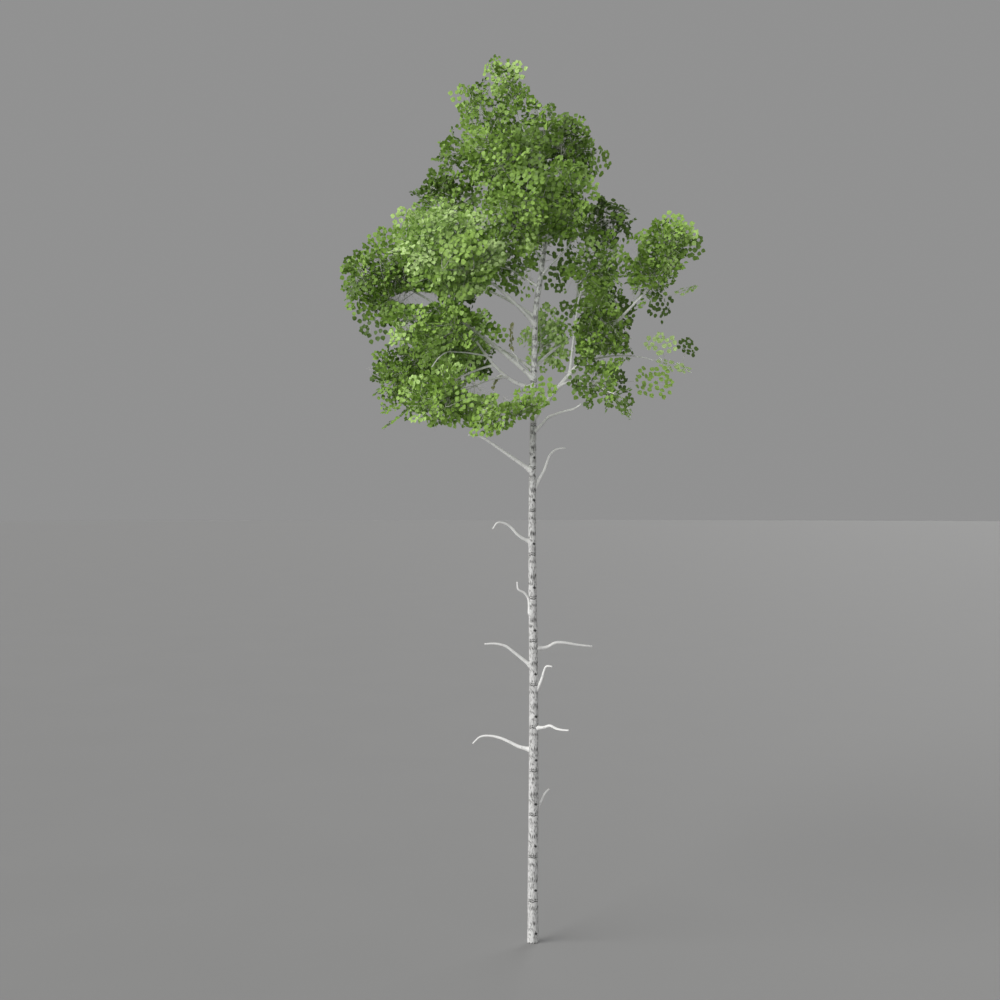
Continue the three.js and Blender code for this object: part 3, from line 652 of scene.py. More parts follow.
habits = {  # how far sprays face the front, or a flat band they keep to: across, offset, half
    "behind_trunk": {"facing": 0.7}, "top": {"facing": 0.7},
    "front_low": {"facing": 0.6, "band": ((-0.481, 0, 0.877), -0.08, 0.12)},
    "far_right": {"band": ((0.78, 0, -0.625), -0.06, 0.27)},
    "right_front": {"band": ((1, 0, 0), 0.03, 0.3)},
}
leastCorner = np.array(cadBox[0]) - np.array(growth["proud"])
mostCorner = np.array(cadBox[1]) + np.array(growth["proud"])
goldenAngle = pi * (3 - sqrt(5))


class Space:  # the room that one mass of foliage keeps to
    def __init__(self, name):
        self.on, middle, self.wide, self.tall, self.light, self.spacing = crownShapes[name]
        self.middle = np.array(middle, float)
        self.radii = np.array([self.wide, self.wide, self.tall])
        draw = np.random.default_rng(round(1000 * abs(middle[0]) + 10 * middle[2]))
        self.lumpAims = unit(draw.normal(0, 1, (3, 3)))
        self.lumpTurns = draw.uniform(0, 6.3, 3)

    def lump(self, directions):  # an uneven edge, so that no mass is a ball
        waves = np.sin(np.array([3.0, 4.2, 6.1]) * (directions @ self.lumpAims.T) + self.lumpTurns)
        return 1 + growth["lumps"] * (waves @ np.array([0.5, 0.32, 0.18]))

    def partFrom(self, others):  # a flat wall to each neighbour, where both are equally deep
        aims, depths = [], []
        for other in others:
            if other is not self:
                run = other.middle - self.middle
                apart = norm(run)
                deep = (apart ** 2 + self.wide * self.tall - other.wide * other.tall) / (2 * apart)
                aims.append(run / apart)
                depths.append(deep - growth["spaceMargin"])
        self.wallAims, self.wallDepths = np.array(aims), np.array(depths)

    def room(self, point, direction):  # how far a ray runs before it leaves the space
        offset = point - self.middle
        start, step = offset / self.radii, direction / self.radii
        across = np.dot(start, step)
        inner = across ** 2 - np.dot(step, step) * (np.dot(start, start) - 1)
        if inner < 0:
            return 0.0
        room = (sqrt(inner) - across) / np.dot(step, step)
        closing = self.wallAims @ direction
        ahead = closing > 1e-9
        gaps = (self.wallDepths - self.wallAims @ offset)[ahead] / closing[ahead]
        return max(0.0, min([room, *gaps]))

    def holds(self, points, extra):  # which of the points lie in the space
        offset = points - self.middle
        edge = self.lump(unit(offset + 1e-9)) ** 2
        near = np.sum((offset / (self.radii + extra)) ** 2, axis=1) <= edge
        return near & np.all(offset @ self.wallAims.T <= self.wallDepths + extra, axis=1)


def seeded(seed):  # the same numbers as the solids' rule draws
    state = seed
    while True:
        state = (state * 1664525 + 1013904223) % 2 ** 32
        yield state / 2 ** 32


def squareTo(direction, roll):
    return turned(sideOf(direction), direction, roll)


def evenAim(i, count, phase):  # one of a number of directions spread evenly all round
    height = 1 - (2 * i + 1) / count
    level = sqrt(1 - height ** 2)
    around = phase + i * goldenAngle
    return np.array([level * cos(around), level * sin(around), height])


spaces = {name: Space(name) for name in crownShapes}
for space in spaces.values():
    space.partFrom(spaces.values())

woodPoints = [trunkPath.at(np.linspace(0, 1, 400))]
woodRadii = [trunkRadius(woodPoints[0][:, 2])]
for limb in limbs.values():
    shares = np.linspace(0, 1, max(6, round(limb["path"].length / 0.03)))
    woodPoints.append(limb["path"].at(shares))
    woodRadii.append(lerp(*np.array(limb["girth"]) / 2, shares))
woodPoints = np.concatenate(woodPoints)
woodRadii = np.concatenate(woodRadii)


def clearOfWood(points):
    gaps = norm(points[:, None] - woodPoints[None], axis=2) - woodRadii
    return gaps.min(axis=1) > growth["woodClearance"]


viewFrom = np.array([-0.448, -18.854, 6.0])  # where the camera stands
skyGaps = [  # sky that shows through the crown from there: x, z at the trunk, half width, half height
    (-1.6, 8.74, 0.33, 0.10), (-0.4, 8.55, 0.13, 0.2), (-0.68, 7.53, 0.25, 0.11),
    (-0.38, 7.56, 0.12, 0.24), (-1.24, 6.92, 0.26, 0.1), (-2.3, 7.75, 0.13, 0.2),
    (-1.37, 10.76, 0.12, 0.13), (-1.58, 10.34, 0.1, 0.12), (0.13, 11.48, 0.1, 0.1),
    (1.36, 9.4, 0.07, 0.16), (0.52, 8.87, 0.08, 0.17),
]
shownLimbs = {  # limbs that stay in view, between two shares of their length
    "bough_left_low": (0.15, 1.0), "bough_left_level": (0.0, 1.0), "bough_left_long": (0.1, 0.6),
    "dead_twig_arched": (0.0, 1.0), "bough_right_level": (0.3, 0.95), "bough_right_long": (0.72, 0.96),
    "bough_right_rising": (0.05, 0.5),
}
showsWithin = 0.036


def seenAt(points):  # where points show on the plane through the trunk
    share = -viewFrom[1] / (points[:, 1] - viewFrom[1])
    return (viewFrom + (points - viewFrom) * share[:, None])[:, [0, 2]]


shownParts = [limbs[name]["path"].at(np.linspace(*part, 40)) for name, part in shownLimbs.items()]
shownPoints = np.concatenate(shownParts)
shownPlaces = seenAt(shownPoints)


def openTo(points):  # leaves that neither fill the sky nor hide a shown limb
    seen = seenAt(points)
    gaps = np.array(skyGaps)
    sky = np.sum(((seen[:, None] - gaps[:, :2]) / gaps[:, 2:]) ** 2, axis=2) < 1
    near = norm(seen[:, None] - shownPlaces, axis=2) < showsWithin
    hiding = near & (points[:, 1:2] < shownPoints[:, 1])
    return ~(sky.any(axis=1) | hiding.any(axis=1))


def stemOf(space):  # from its bough's tip or the trunk, past the middle of its space
    carrier = limbs.get(space.on)
    foot = carrier["path"].points[-1] if carrier else trunkAt(space.on)
    run = space.middle - foot
    distance = norm(run)
    ahead = leaving = run / distance
    girth = growth["topStem"] if space.on == trunkShape["topHeight"] else growth["trunkStem"]
    if carrier:
        girth = carrier["girth"][1]
        leaving = carrier["path"].heading(1.0)
    end = space.middle + ahead * space.room(space.middle, ahead) * growth["stemReach"]
    return easyCurve(foot, foot + leaving * distance / 2, end), girth


def twigsOf(space, stem, seed):  # twigs aim evenly all round the space, out to its edge
    random = seeded(seed)
    phase = next(random) * 2 * pi
    foot, end = stem.points[0], stem.points[-1]
    along = unit(end - foot)
    patch = 4 * pi * space.wide * (space.wide + 2 * space.tall) / 3
    count = round(growth["fewestTwigs"] + patch / growth["twigPatch"])
    longest = min(growth["sprayLength"], space.wide * growth["sprayOfSpace"])
    for i in range(count):
        roll = next(random) * 2 * pi
        size = longest * lerp(*growth["spraySpread"], next(random))
        aimed = evenAim(i, count, phase)
        aim = space.middle + aimed * space.room(space.middle, aimed) * growth["spaceShare"]
        beside = aim - foot
        advance = np.dot(beside, along)
        reach = sqrt(max(np.dot(beside, beside) - advance ** 2, 0))
        share = (advance - reach * growth["twigLean"]) / stem.length
        yield np.clip(share, *growth["twigPlaces"]), aim, roll, size


sprayShape = {
    "leaf": 0.064, "ringLeaf": 0.052, "leafSpread": 0.12, "stalk": 0.013, "ringStalk": 0.023,
    "ringLeaves": (7, 8), "rowStep": 0.094, "firstRow": 0.12, "shootAngle": (50, 66), "leafStep": 0.088,
    "swing": 0.45, "middle": 0.55, "half": 0.33, "end": 0.96, "droop": 0.10,
    "axis": 0.0040, "axisEnd": 0.0020, "shoot": 0.0018, "halfStalk": 0.0011,
}
leafOutline = {  # half outline from base to tip, and two points on the midrib
    "edge": ((0.05, 0.24), (0.27, 0.48), (0.58, 0.47), (0.86, 0.2)),
    "rib": (0.32, 0.68), "tip": 1.03, "fold": 0.16, "curl": 0.14,
}


def leafPattern():
    shape = leafOutline
    edge = np.array(shape["edge"])
    spine = [(along, 0) for along in (0, shape["tip"], *shape["rib"])]
    flat = np.vstack([spine, edge, edge * (1, -1)])
    lift = shape["fold"] * np.abs(flat[:, 1]) - shape["curl"] * flat[:, 0] ** 2
    half = np.array([(0, 4, 2), (4, 5, 2), (5, 6, 2), (2, 6, 3), (6, 7, 3), (7, 1, 3)])
    other = np.where(half > 3, half + len(edge), half)
    ribbed = np.append([1, 0.6, 1, 1], np.zeros(2 * len(edge)))
    return np.column_stack([flat, lift]), np.concatenate([half[:, ::-1], other]), ribbed


def rolled(a, b, angle):  # two square directions turned together
    return a * np.cos(angle) + b * np.sin(angle), b * np.cos(angle) - a * np.sin(angle)


def spray(foot, ahead, across, length, twigs, draw):  # flat: axis, side shoots, a ring of leaves at its tip
    shape = sprayShape
    reach = max(length - shape["ringLeaf"] - shape["ringStalk"], length * 0.5)
    lines = [[(0, 0), (reach * 0.4, reach * draw.uniform(-0.03, 0.03)), (reach, 0)]]
    leaves = []  # along, aside, bearing, size, stalk
    plain = (shape["leaf"], shape["stalk"])
    rowStep, leafStep = shape["rowStep"] * twigs["step"], shape["leafStep"] * twigs["step"]
    for row in range(max(1, int((reach - 0.09) / rowStep) + 1)):
        for side in (1, -1):
            place = reach - shape["firstRow"] - row * rowStep
            place = max(place + (side * 0.2 + draw.uniform(-0.12, 0.12)) * rowStep, 0.004)
            bearing = side * radians(draw.uniform(*shape["shootAngle"]))
            bulge = max(1 - ((place + 0.1 - length * 0.52) / (length * 0.56)) ** 2, 0.12)
            wide = twigs["wide"] * length * sqrt(bulge) * draw.uniform(0.85, 1.1)
            long = max(wide / abs(sin(bearing)) - shape["leaf"], 0.03)
            start = np.array([place, 0])
            step = np.array([cos(bearing), sin(bearing)])
            lines.append([start, start + step * long])
            for i in range(max(1, int(long / leafStep + 0.8))):
                spot = start + step * (long - i * leafStep * draw.uniform(0.9, 1.1))
                swing = (-1) ** i * side * shape["swing"] if i else draw.uniform(-0.2, 0.2)
                leaves.append((*spot, bearing + swing, *plain))
    step = twigs.get("axisStep", length)
    for i, place in enumerate(np.arange(step / 2, reach - 0.06, step)):  # leaves on the axis itself
        leaves.append((place, 0, 0.7 * (-1) ** i, *plain))
    fewest, most = shape["ringLeaves"]
    ring = draw.integers(fewest, most + 1)
    spin = draw.uniform(0, 6.3)
    for i in range(ring):
        turn = spin + i * 2 * pi / ring + draw.uniform(-0.1, 0.1)
        leaves.append((reach, 0, turn, shape["ringLeaf"], shape["ringStalk"]))
    leaves = np.array(leaves)
    number = len(leaves)
    over = np.cross(ahead, across)

    def placed(flat):  # in space, drooping outwards
        flat = np.asarray(flat, float)
        spots = foot + flat[:, :1] * ahead + flat[:, 1:] * across
        spots[:, 2] -= shape["droop"] * np.sum(flat ** 2, axis=1) / length
        return spots

    axis, aside = rolled(ahead, across, leaves[:, 2:3])
    axis, lifted = rolled(axis, over, draw.normal(0, twigs["nod"], (number, 1)))
    aside, lifted = rolled(aside, lifted, draw.normal(0, twigs["tilt"], (number, 1)))
    knots = placed(leaves[:, :2])
    feet = knots + axis * (leaves[:, 4:] * draw.uniform(0.8, 1.2, (number, 1)))
    sizes = leaves[:, 3] * twigs["leaf"] * (1 + draw.uniform(-1, 1, number) * shape["leafSpread"])
    return [placed(line) for line in lines], (knots, feet, axis, aside, lifted, sizes)


tints = {  # leaf colours, a scale from painted shade deep in the crown to painted light on its lit side
    "shaded": (0.046, 0.088, 0.011), "dusky": (0.064, 0.119, 0.014), "deep": (0.091, 0.168, 0.020),
    "green": (0.143, 0.256, 0.032), "grassy": (0.218, 0.378, 0.052), "fresh": (0.314, 0.506, 0.098),
    "light": (0.415, 0.622, 0.172), "pale": (0.510, 0.704, 0.262),
}
tintNames = list(tints)
# painted light and shade: sprays get lighter tints in masses with more light, on the side towards the key
# light and near the outside, darker ones deep inside; chance adds tone that differs at random
crownLight = {"from": (-0.8, -0.45, 0.5), "face": (-0.4, -0.85, 0.35), "mass": 0.5, "side": 0.04,
              "chance": 0.4, "depth": 0.14, "deep": 0.7}
lightFrom = unit(np.array(crownLight["from"]))
faceTo = unit(np.array(crownLight["face"]))
stemParts, twigParts, shootEnds = [], [], []
kept = {name: [] for name in tints}
carriers = {name: limb["path"] for name, limb in limbs.items()}


def faced(ahead, across, share):  # a spray rolled about its own axis
    over = np.cross(ahead, across)
    best = faceTo - ahead * np.dot(faceTo, ahead)
    best = unit(best) if np.dot(over, best) > 0 else -unit(best)
    return np.cross(unit(lerp(over, best, share)), ahead)


def keepSpray(place, twigs, tone, draw):  # the leaves of one spray that have room
    lines, leaves = spray(*place, twigs, draw)
    feet, axis, sizes = leaves[1], leaves[2], leaves[5]
    tips = feet + axis * sizes[:, None]
    hearts = (feet + tips) / 2
    inside = np.all((tips > leastCorner) & (tips < mostCorner), axis=1)
    inside = inside & clearOfWood(hearts) & openTo(hearts)
    if inside.sum() < growth["fewestLeaves"]:
        return False
    twigParts.append(tube(lines[0], np.linspace(sprayShape["axis"], sprayShape["axisEnd"], 3) / 2, 3))
    shootEnds.extend((line[0], line[-1]) for line in lines[1:])
    shades = len(tintNames)
    tint = tintNames[int(np.clip(tone * shades, 0, shades - 1))]
    kept[tint].append([values[inside] for values in leaves])
    return True


def addSpray(space, middles, place, twigs, draw):  # one leafy spray, where there is room for it
    foot, ahead, across, length = place
    across = faced(ahead, across, twigs["facing"])
    centre = foot + ahead * length * sprayShape["middle"]
    apart = space.spacing * twigs["apart"]
    if middles and np.min(np.sum((np.array(middles) - centre) ** 2, axis=1)) < apart ** 2:
        return False
    aside = across * length * sprayShape["half"]
    probe = np.array([foot + ahead * length * sprayShape["end"], centre + aside, centre - aside])
    inside = space.holds(probe, growth["overhang"]).sum() >= 2  # of the tip and both sides
    if not inside or not clearOfWood(np.vstack([probe, centre[None]])).all():
        return False
    offset = centre - space.middle
    if "band" in twigs:
        normal, shift, half = twigs["band"]
        if abs(np.dot(offset, normal) - shift) > half:
            return False
    # painted light: a lighter tint on the side towards the key light and towards the outside of the mass,
    # painted shade deeper in
    offset = offset / space.radii
    bright = 0.5 + 0.5 * np.dot(offset, lightFrom)
    tone = crownLight["mass"] * space.light + crownLight["side"] * bright
    tone += crownLight["chance"] * draw.random()
    tone += crownLight["depth"] * (norm(offset) - crownLight["deep"])
    if not keepSpray((foot, ahead, across, length), twigs, tone, draw):
        return False
    middles.append(centre)
    return True


def growTwig(space, middles, root, leaving, aim, roll, size, twigs, draw):  # a twig and its sprays
    run = aim - root
    reach = norm(run)
    ahead = run / reach
    length = min(size, reach * growth["longestEnd"])
    neck = aim - ahead * length
    bow = unit(leaving + up * growth["twigRise"]) * norm(neck - root) * growth["twigBend"]
    bend = (root + neck) / 2 + bow
    twig = easyCurve(root, bend, neck, 6)
    endAcross = squareTo(ahead, roll)
    places = [(neck, ahead, endAcross, length)]
    count = int(norm(neck - root) / growth["sideStep"])
    for i in range(count):
        side = turned(endAcross, ahead, -radians(growth["sideStart"] + growth["sideTurn"] * i))
        across = np.cross(ahead, side)
        aside = turned(side, across, -radians(90 - growth["sideAngle"]))
        foot = twig.at(1 - (i + 0.5) / count)
        long = min(size * growth["sideShare"], space.room(foot, aside) * space.lump(aside) + 0.06)
        if long > size * growth["shortest"]:
            places.append((foot, aside, across, long))
    grown = sum([addSpray(space, middles, place, twigs, draw) for place in places])
    if grown:
        twigParts.append(tube(twig.at(np.linspace(0, 1, 5)), np.linspace(*twigs["girth"], 5) / 2, 4))
    return twig if grown else None


def fineAims(space, count, draw):  # more aims all round, some short of the edge
    phase = draw.uniform(0, 6.3)
    for i in range(count):
        aimed = evenAim(i, count, phase)
        edge = space.room(space.middle, aimed) * space.lump(aimed)
        yield space.middle + aimed * edge * draw.uniform(*fineTwigs["depth"])


def growMass(name, space, seed):
    draw = np.random.default_rng(seed)
    stem, girth = stemOf(space)
    shares = np.linspace(0, 1, 16)
    line = stem.at(shares)
    sway = np.sin(shares * 9 + draw.uniform(0, 6)) * np.sin(shares * pi) * growth["stemSway"]
    line = line + sway[:, None] * squareTo(unit(line[-1] - line[0]), draw.uniform(0, 6))
    stemParts.append(tube(line, lerp(girth / 2, growth["stemEnd"] / 2, shares), 8))
    carriers["foliage_" + name] = Path(line)
    if name == "right_level":  # only single sprays stand on this one
        return 0
    middles = []
    carried = [Path(line[4:])]
    twigs = {**firstTwigs, **habits.get(name, {})}
    first = list(twigsOf(space, stem, seed))
    for share, aim, roll, size in first:
        twig = growTwig(space, middles, stem.at(share), stem.heading(share), aim, roll, size, twigs, draw)
        if twig:
            carried.append(twig)
    draw = np.random.default_rng(seed + fineTwigs["seed"])
    feet = np.concatenate([path.at(np.linspace(0.15, 1, 12)) for path in carried])
    twigs = {**fineTwigs, **habits.get(name, {})}
    for aim in fineAims(space, round(len(first) * twigs["ratio"]), draw):
        gaps = norm(feet - aim, axis=1)
        ways = gaps + 0.25 * norm(feet - line[0], axis=1)
        root = feet[np.argmin(np.where(gaps < twigs["nearest"], np.inf, ways))]
        size = draw.uniform(*twigs["size"])
        growTwig(space, middles, root, unit(aim - root), aim, draw.uniform(0, 6.3), size, twigs, draw)
    return len(middles)


looseSprays = [  # single sprays: on what, share along it, foot, tip, facing, light (a painted light or shade tint), half width if not 0.5
    ("foliage_right_level", 0.5, (1.81, 0.24, 7.96), (1.735, 0.15, 8.33), (-0.25, -1, 0.1), 0.9, 0.56),
    ("bough_right_low", 1.0, (1.33, -0.2, 7.59), (1.91, -0.05, 7.64), (-0.1, -1, 0.2), 0.7, 0.36),
    ("foliage_right_level", 0.05, (1.67, 0.24, 7.92), (2.2, 0.3, 7.83), (0.1, -0.7, 1), 0.95, 0.3),
    ("foliage_right_level", 0.9, (2.12, 0.45, 8.02), (2.22, 0.6, 8.3), (0.3, -1, 0.1), 0.35, 0.42),
    ("bough_right_low", 1.0, (0.85, -0.55, 7.58), (1.15, -0.62, 7.86), (-0.6, -0.45, 0.7), 0.72, 0.36),
    ("bough_right_low", 1.0, (0.89, -0.6, 7.56), (1.28, -0.66, 7.1), (0.65, -0.45, 0.6), 0.72, 0.34),
    ("bough_right_low", 0.7, (0.6, -0.62, 7.62), (0.76, -0.72, 7.32), (-0.2, -1, 0.2), 0.4, 0.55),
    ("bough_right_low", 0.5, (0.45, -0.55, 7.68), (0.72, -0.75, 7.6), (-0.2, -1, 0.3), 0.35, 0.55),
    ("foliage_right_low", 0.6, (0.78, -0.88, 7.5), (1.1, -0.95, 7.36), (-0.2, -1, 0.2), 0.4),
    ("foliage_left_shoulder", 0.45, (-0.6, 0, 9.85), (-0.78, -0.05, 10.22), (-0.3, -1, 0.2), 0.45),
    ("bough_right_slim", 0.55, (0.3, -0.07, 9.21), (0.36, -0.02, 8.82), (0.3, -1, 0.2), 0.35),
    ("bough_right_slim", 0.8, (0.41, -0.08, 9.27), (0.52, 0.1, 8.98), (-0.2, -1, 0.4), 0.3),
    ("bough_right_rising", 0.8, (0.58, -0.09, 8.48), (0.38, 0.05, 8.72), (-0.4, -1, 0.1), 0.35),
    ("bough_front_low", 0.9, (-0.09, -0.6, 7.3), (0.3, -0.72, 7.52), (-0.3, -1, 0.3), 0.56, 0.45),
    ("bough_front_low", 0.8, (-0.13, -0.52, 7.26), (0.16, -0.75, 7.28), (-0.2, -1, 0.4), 0.56),
    ("bough_right_long", 0.97, (1.9, 0.02, 8.78), (2.25, 0.06, 8.95), (-0.3, -0.5, 1), 0.98, 0.3),
    ("bough_right_long", 0.95, (1.6, 0.1, 8.78), (1.9, 0.35, 8.6), (0.4, -1, 0), 0.3),
    ("bough_right_long", 0.88, (1.42, 0.08, 9.31), (1.46, 0.15, 9.72), (-0.6, -0.8, 0), 0.6, 0.45),
    ("bough_left_long", 0.98, (-1.95, 0.1, 8.6), (-2.36, 0.15, 8.32), (0.2, -1, 0.2), 0.3),
    ("bough_left_level", 0.95, (-1.63, -0.17, 7.24), (-2.03, -0.3, 6.98), (-0.6, -0.1, 0.8), 0.56, 0.45),
    ("leader_right", 1.0, (0.42, 0.4, 11.04), (0.46, 0.5, 11.45), (-0.3, -1, 0.1), 0.4, 0.45),
    ("leader_right", 1.0, (0.78, 0.36, 10.5), (1.07, 0.42, 10.88), (0.5, -0.6, -0.4), 0.5, 0.4),
    ("bough_back_right", 1.0, (1.08, 1.09, 10.07), (1.36, 1.3, 10.3), (-0.2, -1, 0.2), 0.25),
    ("bough_left_long", 1.0, (-1.89, 0, 9.35), (-2.08, -0.05, 9.74), (-0.3, -1, 0.2), 0.55),
    ("foliage_far_right", 0.8, (1.81, -0.09, 9.49), (2.0, -0.1, 9.9), (-0.3, -1, 0.2), 0.7),
    ("bough_left_level", 0.9, (-1.72, -0.15, 7.32), (-2.05, -0.22, 7.18), (-0.5, -0.4, 0.8), 0.6, 0.42),
    ("foliage_far_right", 0.9, (2.0, -0.05, 9.3), (2.29, -0.05, 9.6), (0.2, -1, 0.2), 0.45, 0.45),
    ("foliage_top_left", 0.9, (-0.84, -0.15, 11.3), (-1.0, -0.18, 11.62), (-0.3, -1, 0.2), 0.7),
    ("foliage_top", 0.85, (-0.29, 0, 11.68), (-0.19, 0, 12.0), (-0.2, -1, 0.2), 0.8),
    ("foliage_left_middle", 0.9, (-1.62, -0.4, 9.62), (-1.79, -0.4, 9.93), (-0.3, -1, 0.2), 0.75),
    ("foliage_far_left", 0.95, (-2.36, 0, 9.0), (-2.62, 0, 9.2), (-0.3, -1, 0.2), 0.55),
    ("foliage_far_left", 0.9, (-2.25, 0, 8.8), (-2.55, 0.02, 8.62), (-0.2, -1, 0.2), 0.5),
    ("bough_left_low", 0.75, (-0.53, -0.23, 8.09), (-0.5, -0.3, 8.42), (-0.3, -1, 0.1), 0.6),
    ("foliage_middle_front", 0.9, (-0.14, -1.06, 9.86), (-0.06, -1.1, 10.28), (-0.2, -1, 0.5), 0.5),
    ("foliage_upper_front", 0.8, (-0.12, -0.9, 10.14), (0.1, -0.92, 10.5), (-0.5, -1, -0.1), 0.46),
    ("foliage_right_slim", 0.7, (0.1, -0.86, 9.88), (0.2, -0.9, 10.28), (0, -1, 0.3), 0.46),
    ("foliage_top_right", 0.6, (-0.12, -0.44, 10.6), (0.03, -0.48, 10.98), (0, -1, 0.2), 0.46),
    ("foliage_left_middle", 0.7, (-1.1, -1.46, 8.98), (-0.9, -1.5, 9.36), (-0.1, -1, 0.4), 0.72),
    ("foliage_left_middle", 0.5, (-0.78, -1.3, 9.02), (-0.84, -1.4, 9.44), (-0.5, -1, 0), 0.7),
    ("foliage_left_front", 0.6, (-1.04, -1.4, 7.2), (-0.72, -1.46, 7.36), (-0.2, -1, 0.6), 0.56, 0.45),
]
innerSprays = {"on": ("leader_right", "bough_back_right"), "count": 18, "shares": (0.15, 0.85),
               "reach": (0.1, 0.5)}


def growLoose(draw, carrier, share, foot, tip, face, light, wide=0.5):
    root = carriers[carrier].at(share)
    foot = np.array(foot)
    run = np.array(tip) - foot
    ahead = unit(run)
    twigs = {**looseTwigs, "wide": wide}
    keepSpray((foot, ahead, unit(np.cross(face, ahead)), norm(run)), twigs, light, draw)
    twig = easyCurve(root, foot - ahead * norm(foot - root) * 0.4, foot, 6)
    twigParts.append(tube(twig.points, np.linspace(*twigs["girth"], 6) / 2, 4))


wilted = {  # on what, first and last share and count, how they hang, seed
    "on": (("dead_twig_upright", (0.36, 1, 27), (0, 0, 0.9), 71),
           ("dead_twig_hooked", (0.1, 0.7, 18), (0.15, 0, -1.0), 72)),
    "sizes": (0.042, 0.06), "stalk": 0.006, "tint": (0.36, 0.38, 0.16),
}


def wiltedLeaves(name, places, hang, seed):  # dry leaves left along a dead twig
    draw = np.random.default_rng(seed)
    knots = limbs[name]["path"].at(np.linspace(*places))
    number = len(knots)
    axis = unit(draw.normal(0, 0.3, (number, 3)) + hang)
    aside = unit(np.cross(axis, draw.normal(0, 1, (number, 3))))
    sizes = draw.uniform(*wilted["sizes"], number)
    return [knots, knots + axis * wilted["stalk"], axis, aside, np.cross(axis, aside), sizes]


sprayCount = len(looseSprays) + innerSprays["count"]
for i, (name, space) in enumerate(spaces.items()):
    sprayCount += growMass(name, space, growth["firstSeed"] + growth["seedStep"] * i)
looseDraw = np.random.default_rng(looseTwigs["seed"])
for row in looseSprays:
    growLoose(looseDraw, *row)
for i in range(innerSprays["count"]):  # short leafy twigs inside the crown, towards the back
    carrier = innerSprays["on"][i % 2]
    share = lerp(*innerSprays["shares"], i / innerSprays["count"])
    aim = unit(np.array([cos(i * goldenAngle), 0.25 + abs(sin(i * goldenAngle)), 0.3]))
    foot, tip = [carriers[carrier].at(share) + aim * reach for reach in innerSprays["reach"]]
    # painted shade: these inner sprays get a darker tint
    growLoose(looseDraw, carrier, share, foot, tip, squareTo(aim, i), 0.45, 0.48)
kept["wilted"] = [wiltedLeaves(*row) for row in wilted["on"]]
tints["wilted"] = wilted["tint"]
print("crown:", len(spaces), "masses,", sprayCount, "sprays")


leafFinish = {"spread": 0.24, "rib": 0.3, "roughness": 0.5, "gloss": 0.4}
twigFinish = {"pale": (0.80, 0.79, 0.74, 1), "grey": (0.60, 0.59, 0.54, 1),
              "mark": (0.12, 0.11, 0.09, 1), "roughness": 0.72, "marked": 0.0}
stalkFinish = {"pale": (0.22, 0.26, 0.09, 1), "grey": (0.15, 0.19, 0.06, 1),
               "mark": (0.1, 0.12, 0.05, 1), "roughness": 0.6, "marked": 0.0}


def leafSkin(name, tint):
    material, wire = newMaterial(name)
    fine = noise(wire, 240)
    rib = meshField(wire, "rib")
    dark, bright = [(*[v * (1 + sign * leafFinish["spread"]) for v in tint], 1) for sign in (-1, 1)]
    pale = (*[lerp(v, 0.4, 0.25) for v in tint], 1)
    color = mixColor(between(noise(wire, 26), 0.3, 0.7), dark, bright)
    color = mixColor(between(rib, 0.72, 1.0) * leafFinish["rib"], color, pale)
    rough = leafFinish["roughness"] + 0.2 * (fine - 0.5)
    surface(wire, color, rough, rib * 0.6 + fine * 0.4, 0.0015, leafFinish["gloss"])
    return material


pattern, patternFaces, ribbed = leafPattern()
foliageNodes = ["foliage_" + name for name in crownShapes]
stalks = []
for name, groups in kept.items():
    if not groups:
        continue
    knots, feet, axis, aside, lifted, sizes = [np.concatenate(values) for values in zip(*groups)]
    along, across, lift = [pattern[None, :, k, None] * sizes[:, None, None] for k in range(3)]
    verts = feet[:, None] + along * axis[:, None] + across * aside[:, None] + lift * lifted[:, None]
    skin = leafSkin("leaf_" + name, tints[name])
    ribs = {"rib": np.tile(ribbed, len(feet))}
    makePiece("leaves_" + name, *repeated(verts, patternFaces), skin, "leaves", foliageNodes, ribs)
    stalks.append((knots, feet, lifted))
    print("leaves", name, len(feet))
knots, feet, lifted = [np.concatenate(values) for values in zip(*stalks)]
lifted = lifted * sprayShape["halfStalk"]
corners = np.stack([knots + lifted, knots - lifted, feet - lifted * 0.7, feet + lifted * 0.7], 1)
stalkFaces = np.array([(0, 1, 2), (0, 2, 3)])
makePiece("leaf_stalks", *repeated(corners, stalkFaces), limbBark("leaf_stalks", stalkFinish), "leaves")
makePiece("crown_stems", *joined(stemParts), boughBark, "limb_bark", foliageNodes)
twigBark = limbBark("twig_bark", twigFinish)
makePiece("crown_twigs", *joined(twigParts), twigBark, "limb_bark", foliageNodes)
rods = shoots(np.array(shootEnds), sprayShape["shoot"] / 2)
makePiece("crown_shoots", *rods, twigBark, "limb_bark", foliageNodes)
print("foliage:", len(feet), "leaves,", len(twigParts), "twigs,", len(shootEnds), "shoots")


# floor, light and camera

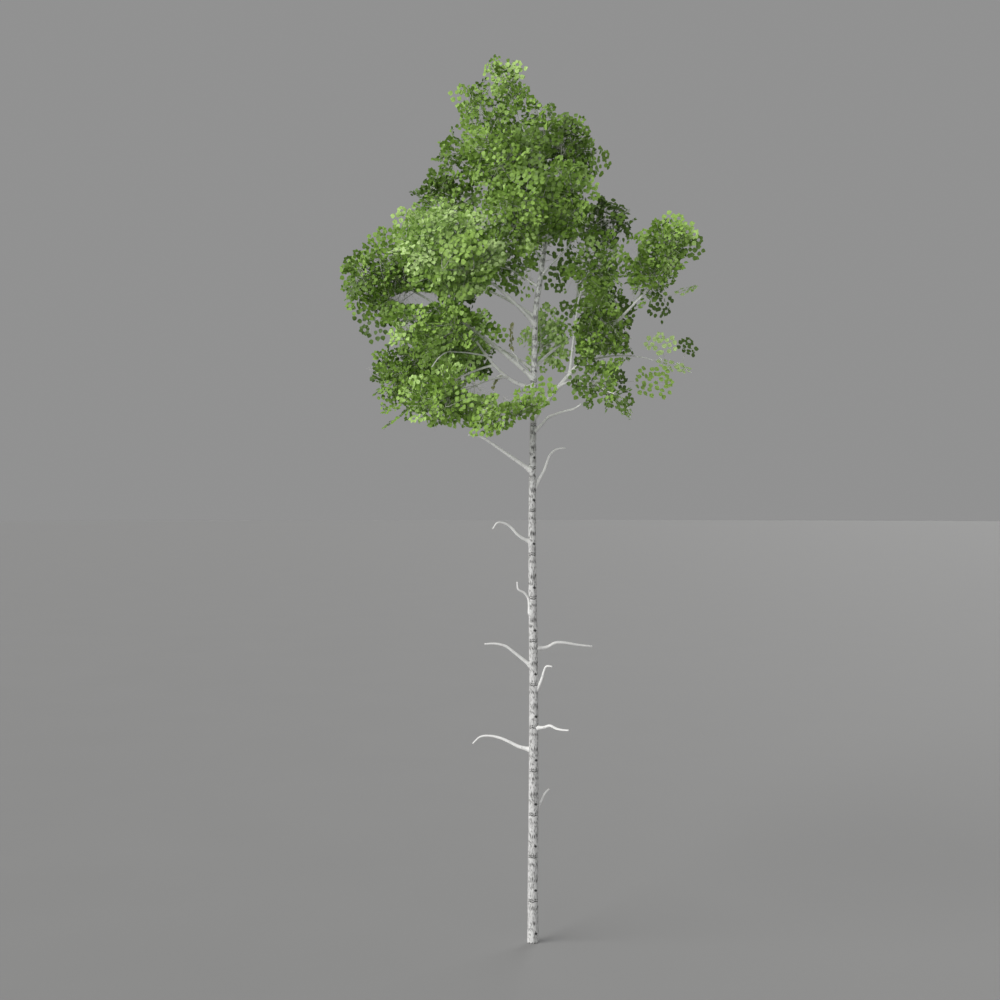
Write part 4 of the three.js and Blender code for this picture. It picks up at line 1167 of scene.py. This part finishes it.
studio = {
    "floor": (0.358, 0.358, 0.358), "floorRadius": 400, "world": (1.0, 1.0, 1.0), "worldStrength": 0.285,
    "lights": {
        "key": {"from": (-0.8, -0.45, 0.5), "angle": 50, "power": 2.0, "color": (1.0, 0.99, 0.97)},
        "fill": {"from": (-0.3, -1.0, 0.04), "angle": 20, "power": 1.05, "color": (1.0, 1.0, 1.0)},
        "rim": {"from": (0.45, 0.85, 0.35), "angle": 40, "power": 0.9, "color": (1.0, 1.0, 1.0)},
    },
    "lens": 50,
}


def floorFinish():
    material, wire = newMaterial("studio_floor")
    tone = noise(wire, 0.35)
    dim, pale = [(*[v * share for v in studio["floor"]], 1) for share in (0.94, 1)]
    surface(wire, mixColor(tone, dim, pale), 0.85 + 0.1 * (tone - 0.5), noise(wire, 30), 0.001, 0.5)
    return material


def setStudio():
    scene = bpy.context.scene
    angle = turnsOf(1, 96)[0]
    rim = np.column_stack([np.cos(angle), np.sin(angle), 0 * angle]) * studio["floorRadius"]
    mesh = bpy.data.meshes.new("studio_floor")
    mesh.from_pydata(rim.tolist(), [], [list(range(len(rim)))])
    mesh.materials.append(floorFinish())
    floor = addObject("studio_floor", mesh)
    floor.location.z = -0.001
    floor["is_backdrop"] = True
    scene.world = bpy.data.worlds.new("studio")
    scene.world.use_nodes = True
    back = scene.world.node_tree.nodes["Background"]
    back.inputs["Color"].default_value = (*studio["world"], 1)
    back.inputs["Strength"].default_value = studio["worldStrength"]
    for name, look in studio["lights"].items():
        lamp = bpy.data.lights.new(name, "SUN")
        lamp.energy = look["power"]
        lamp.angle = radians(look["angle"])
        lamp.color = look["color"]
        light = addObject(name, lamp)
        light.rotation_euler = Vector(look["from"]).to_track_quat("Z", "Y").to_euler()
    lens = bpy.data.cameras.new("camera")
    lens.lens = studio["lens"]
    lens.sensor_width = 36
    lens.clip_end = 1000
    scene.camera = addObject("camera", lens)
    scene.camera.location = viewFrom
    scene.camera.rotation_euler = (pi / 2, 0, 0)
    scene.view_settings.view_transform = "Standard"
    print("studio set")


setStudio()
bpy.context.view_layer.update()
[[list(corner) for corner in box] for box in (cadBox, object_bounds())]
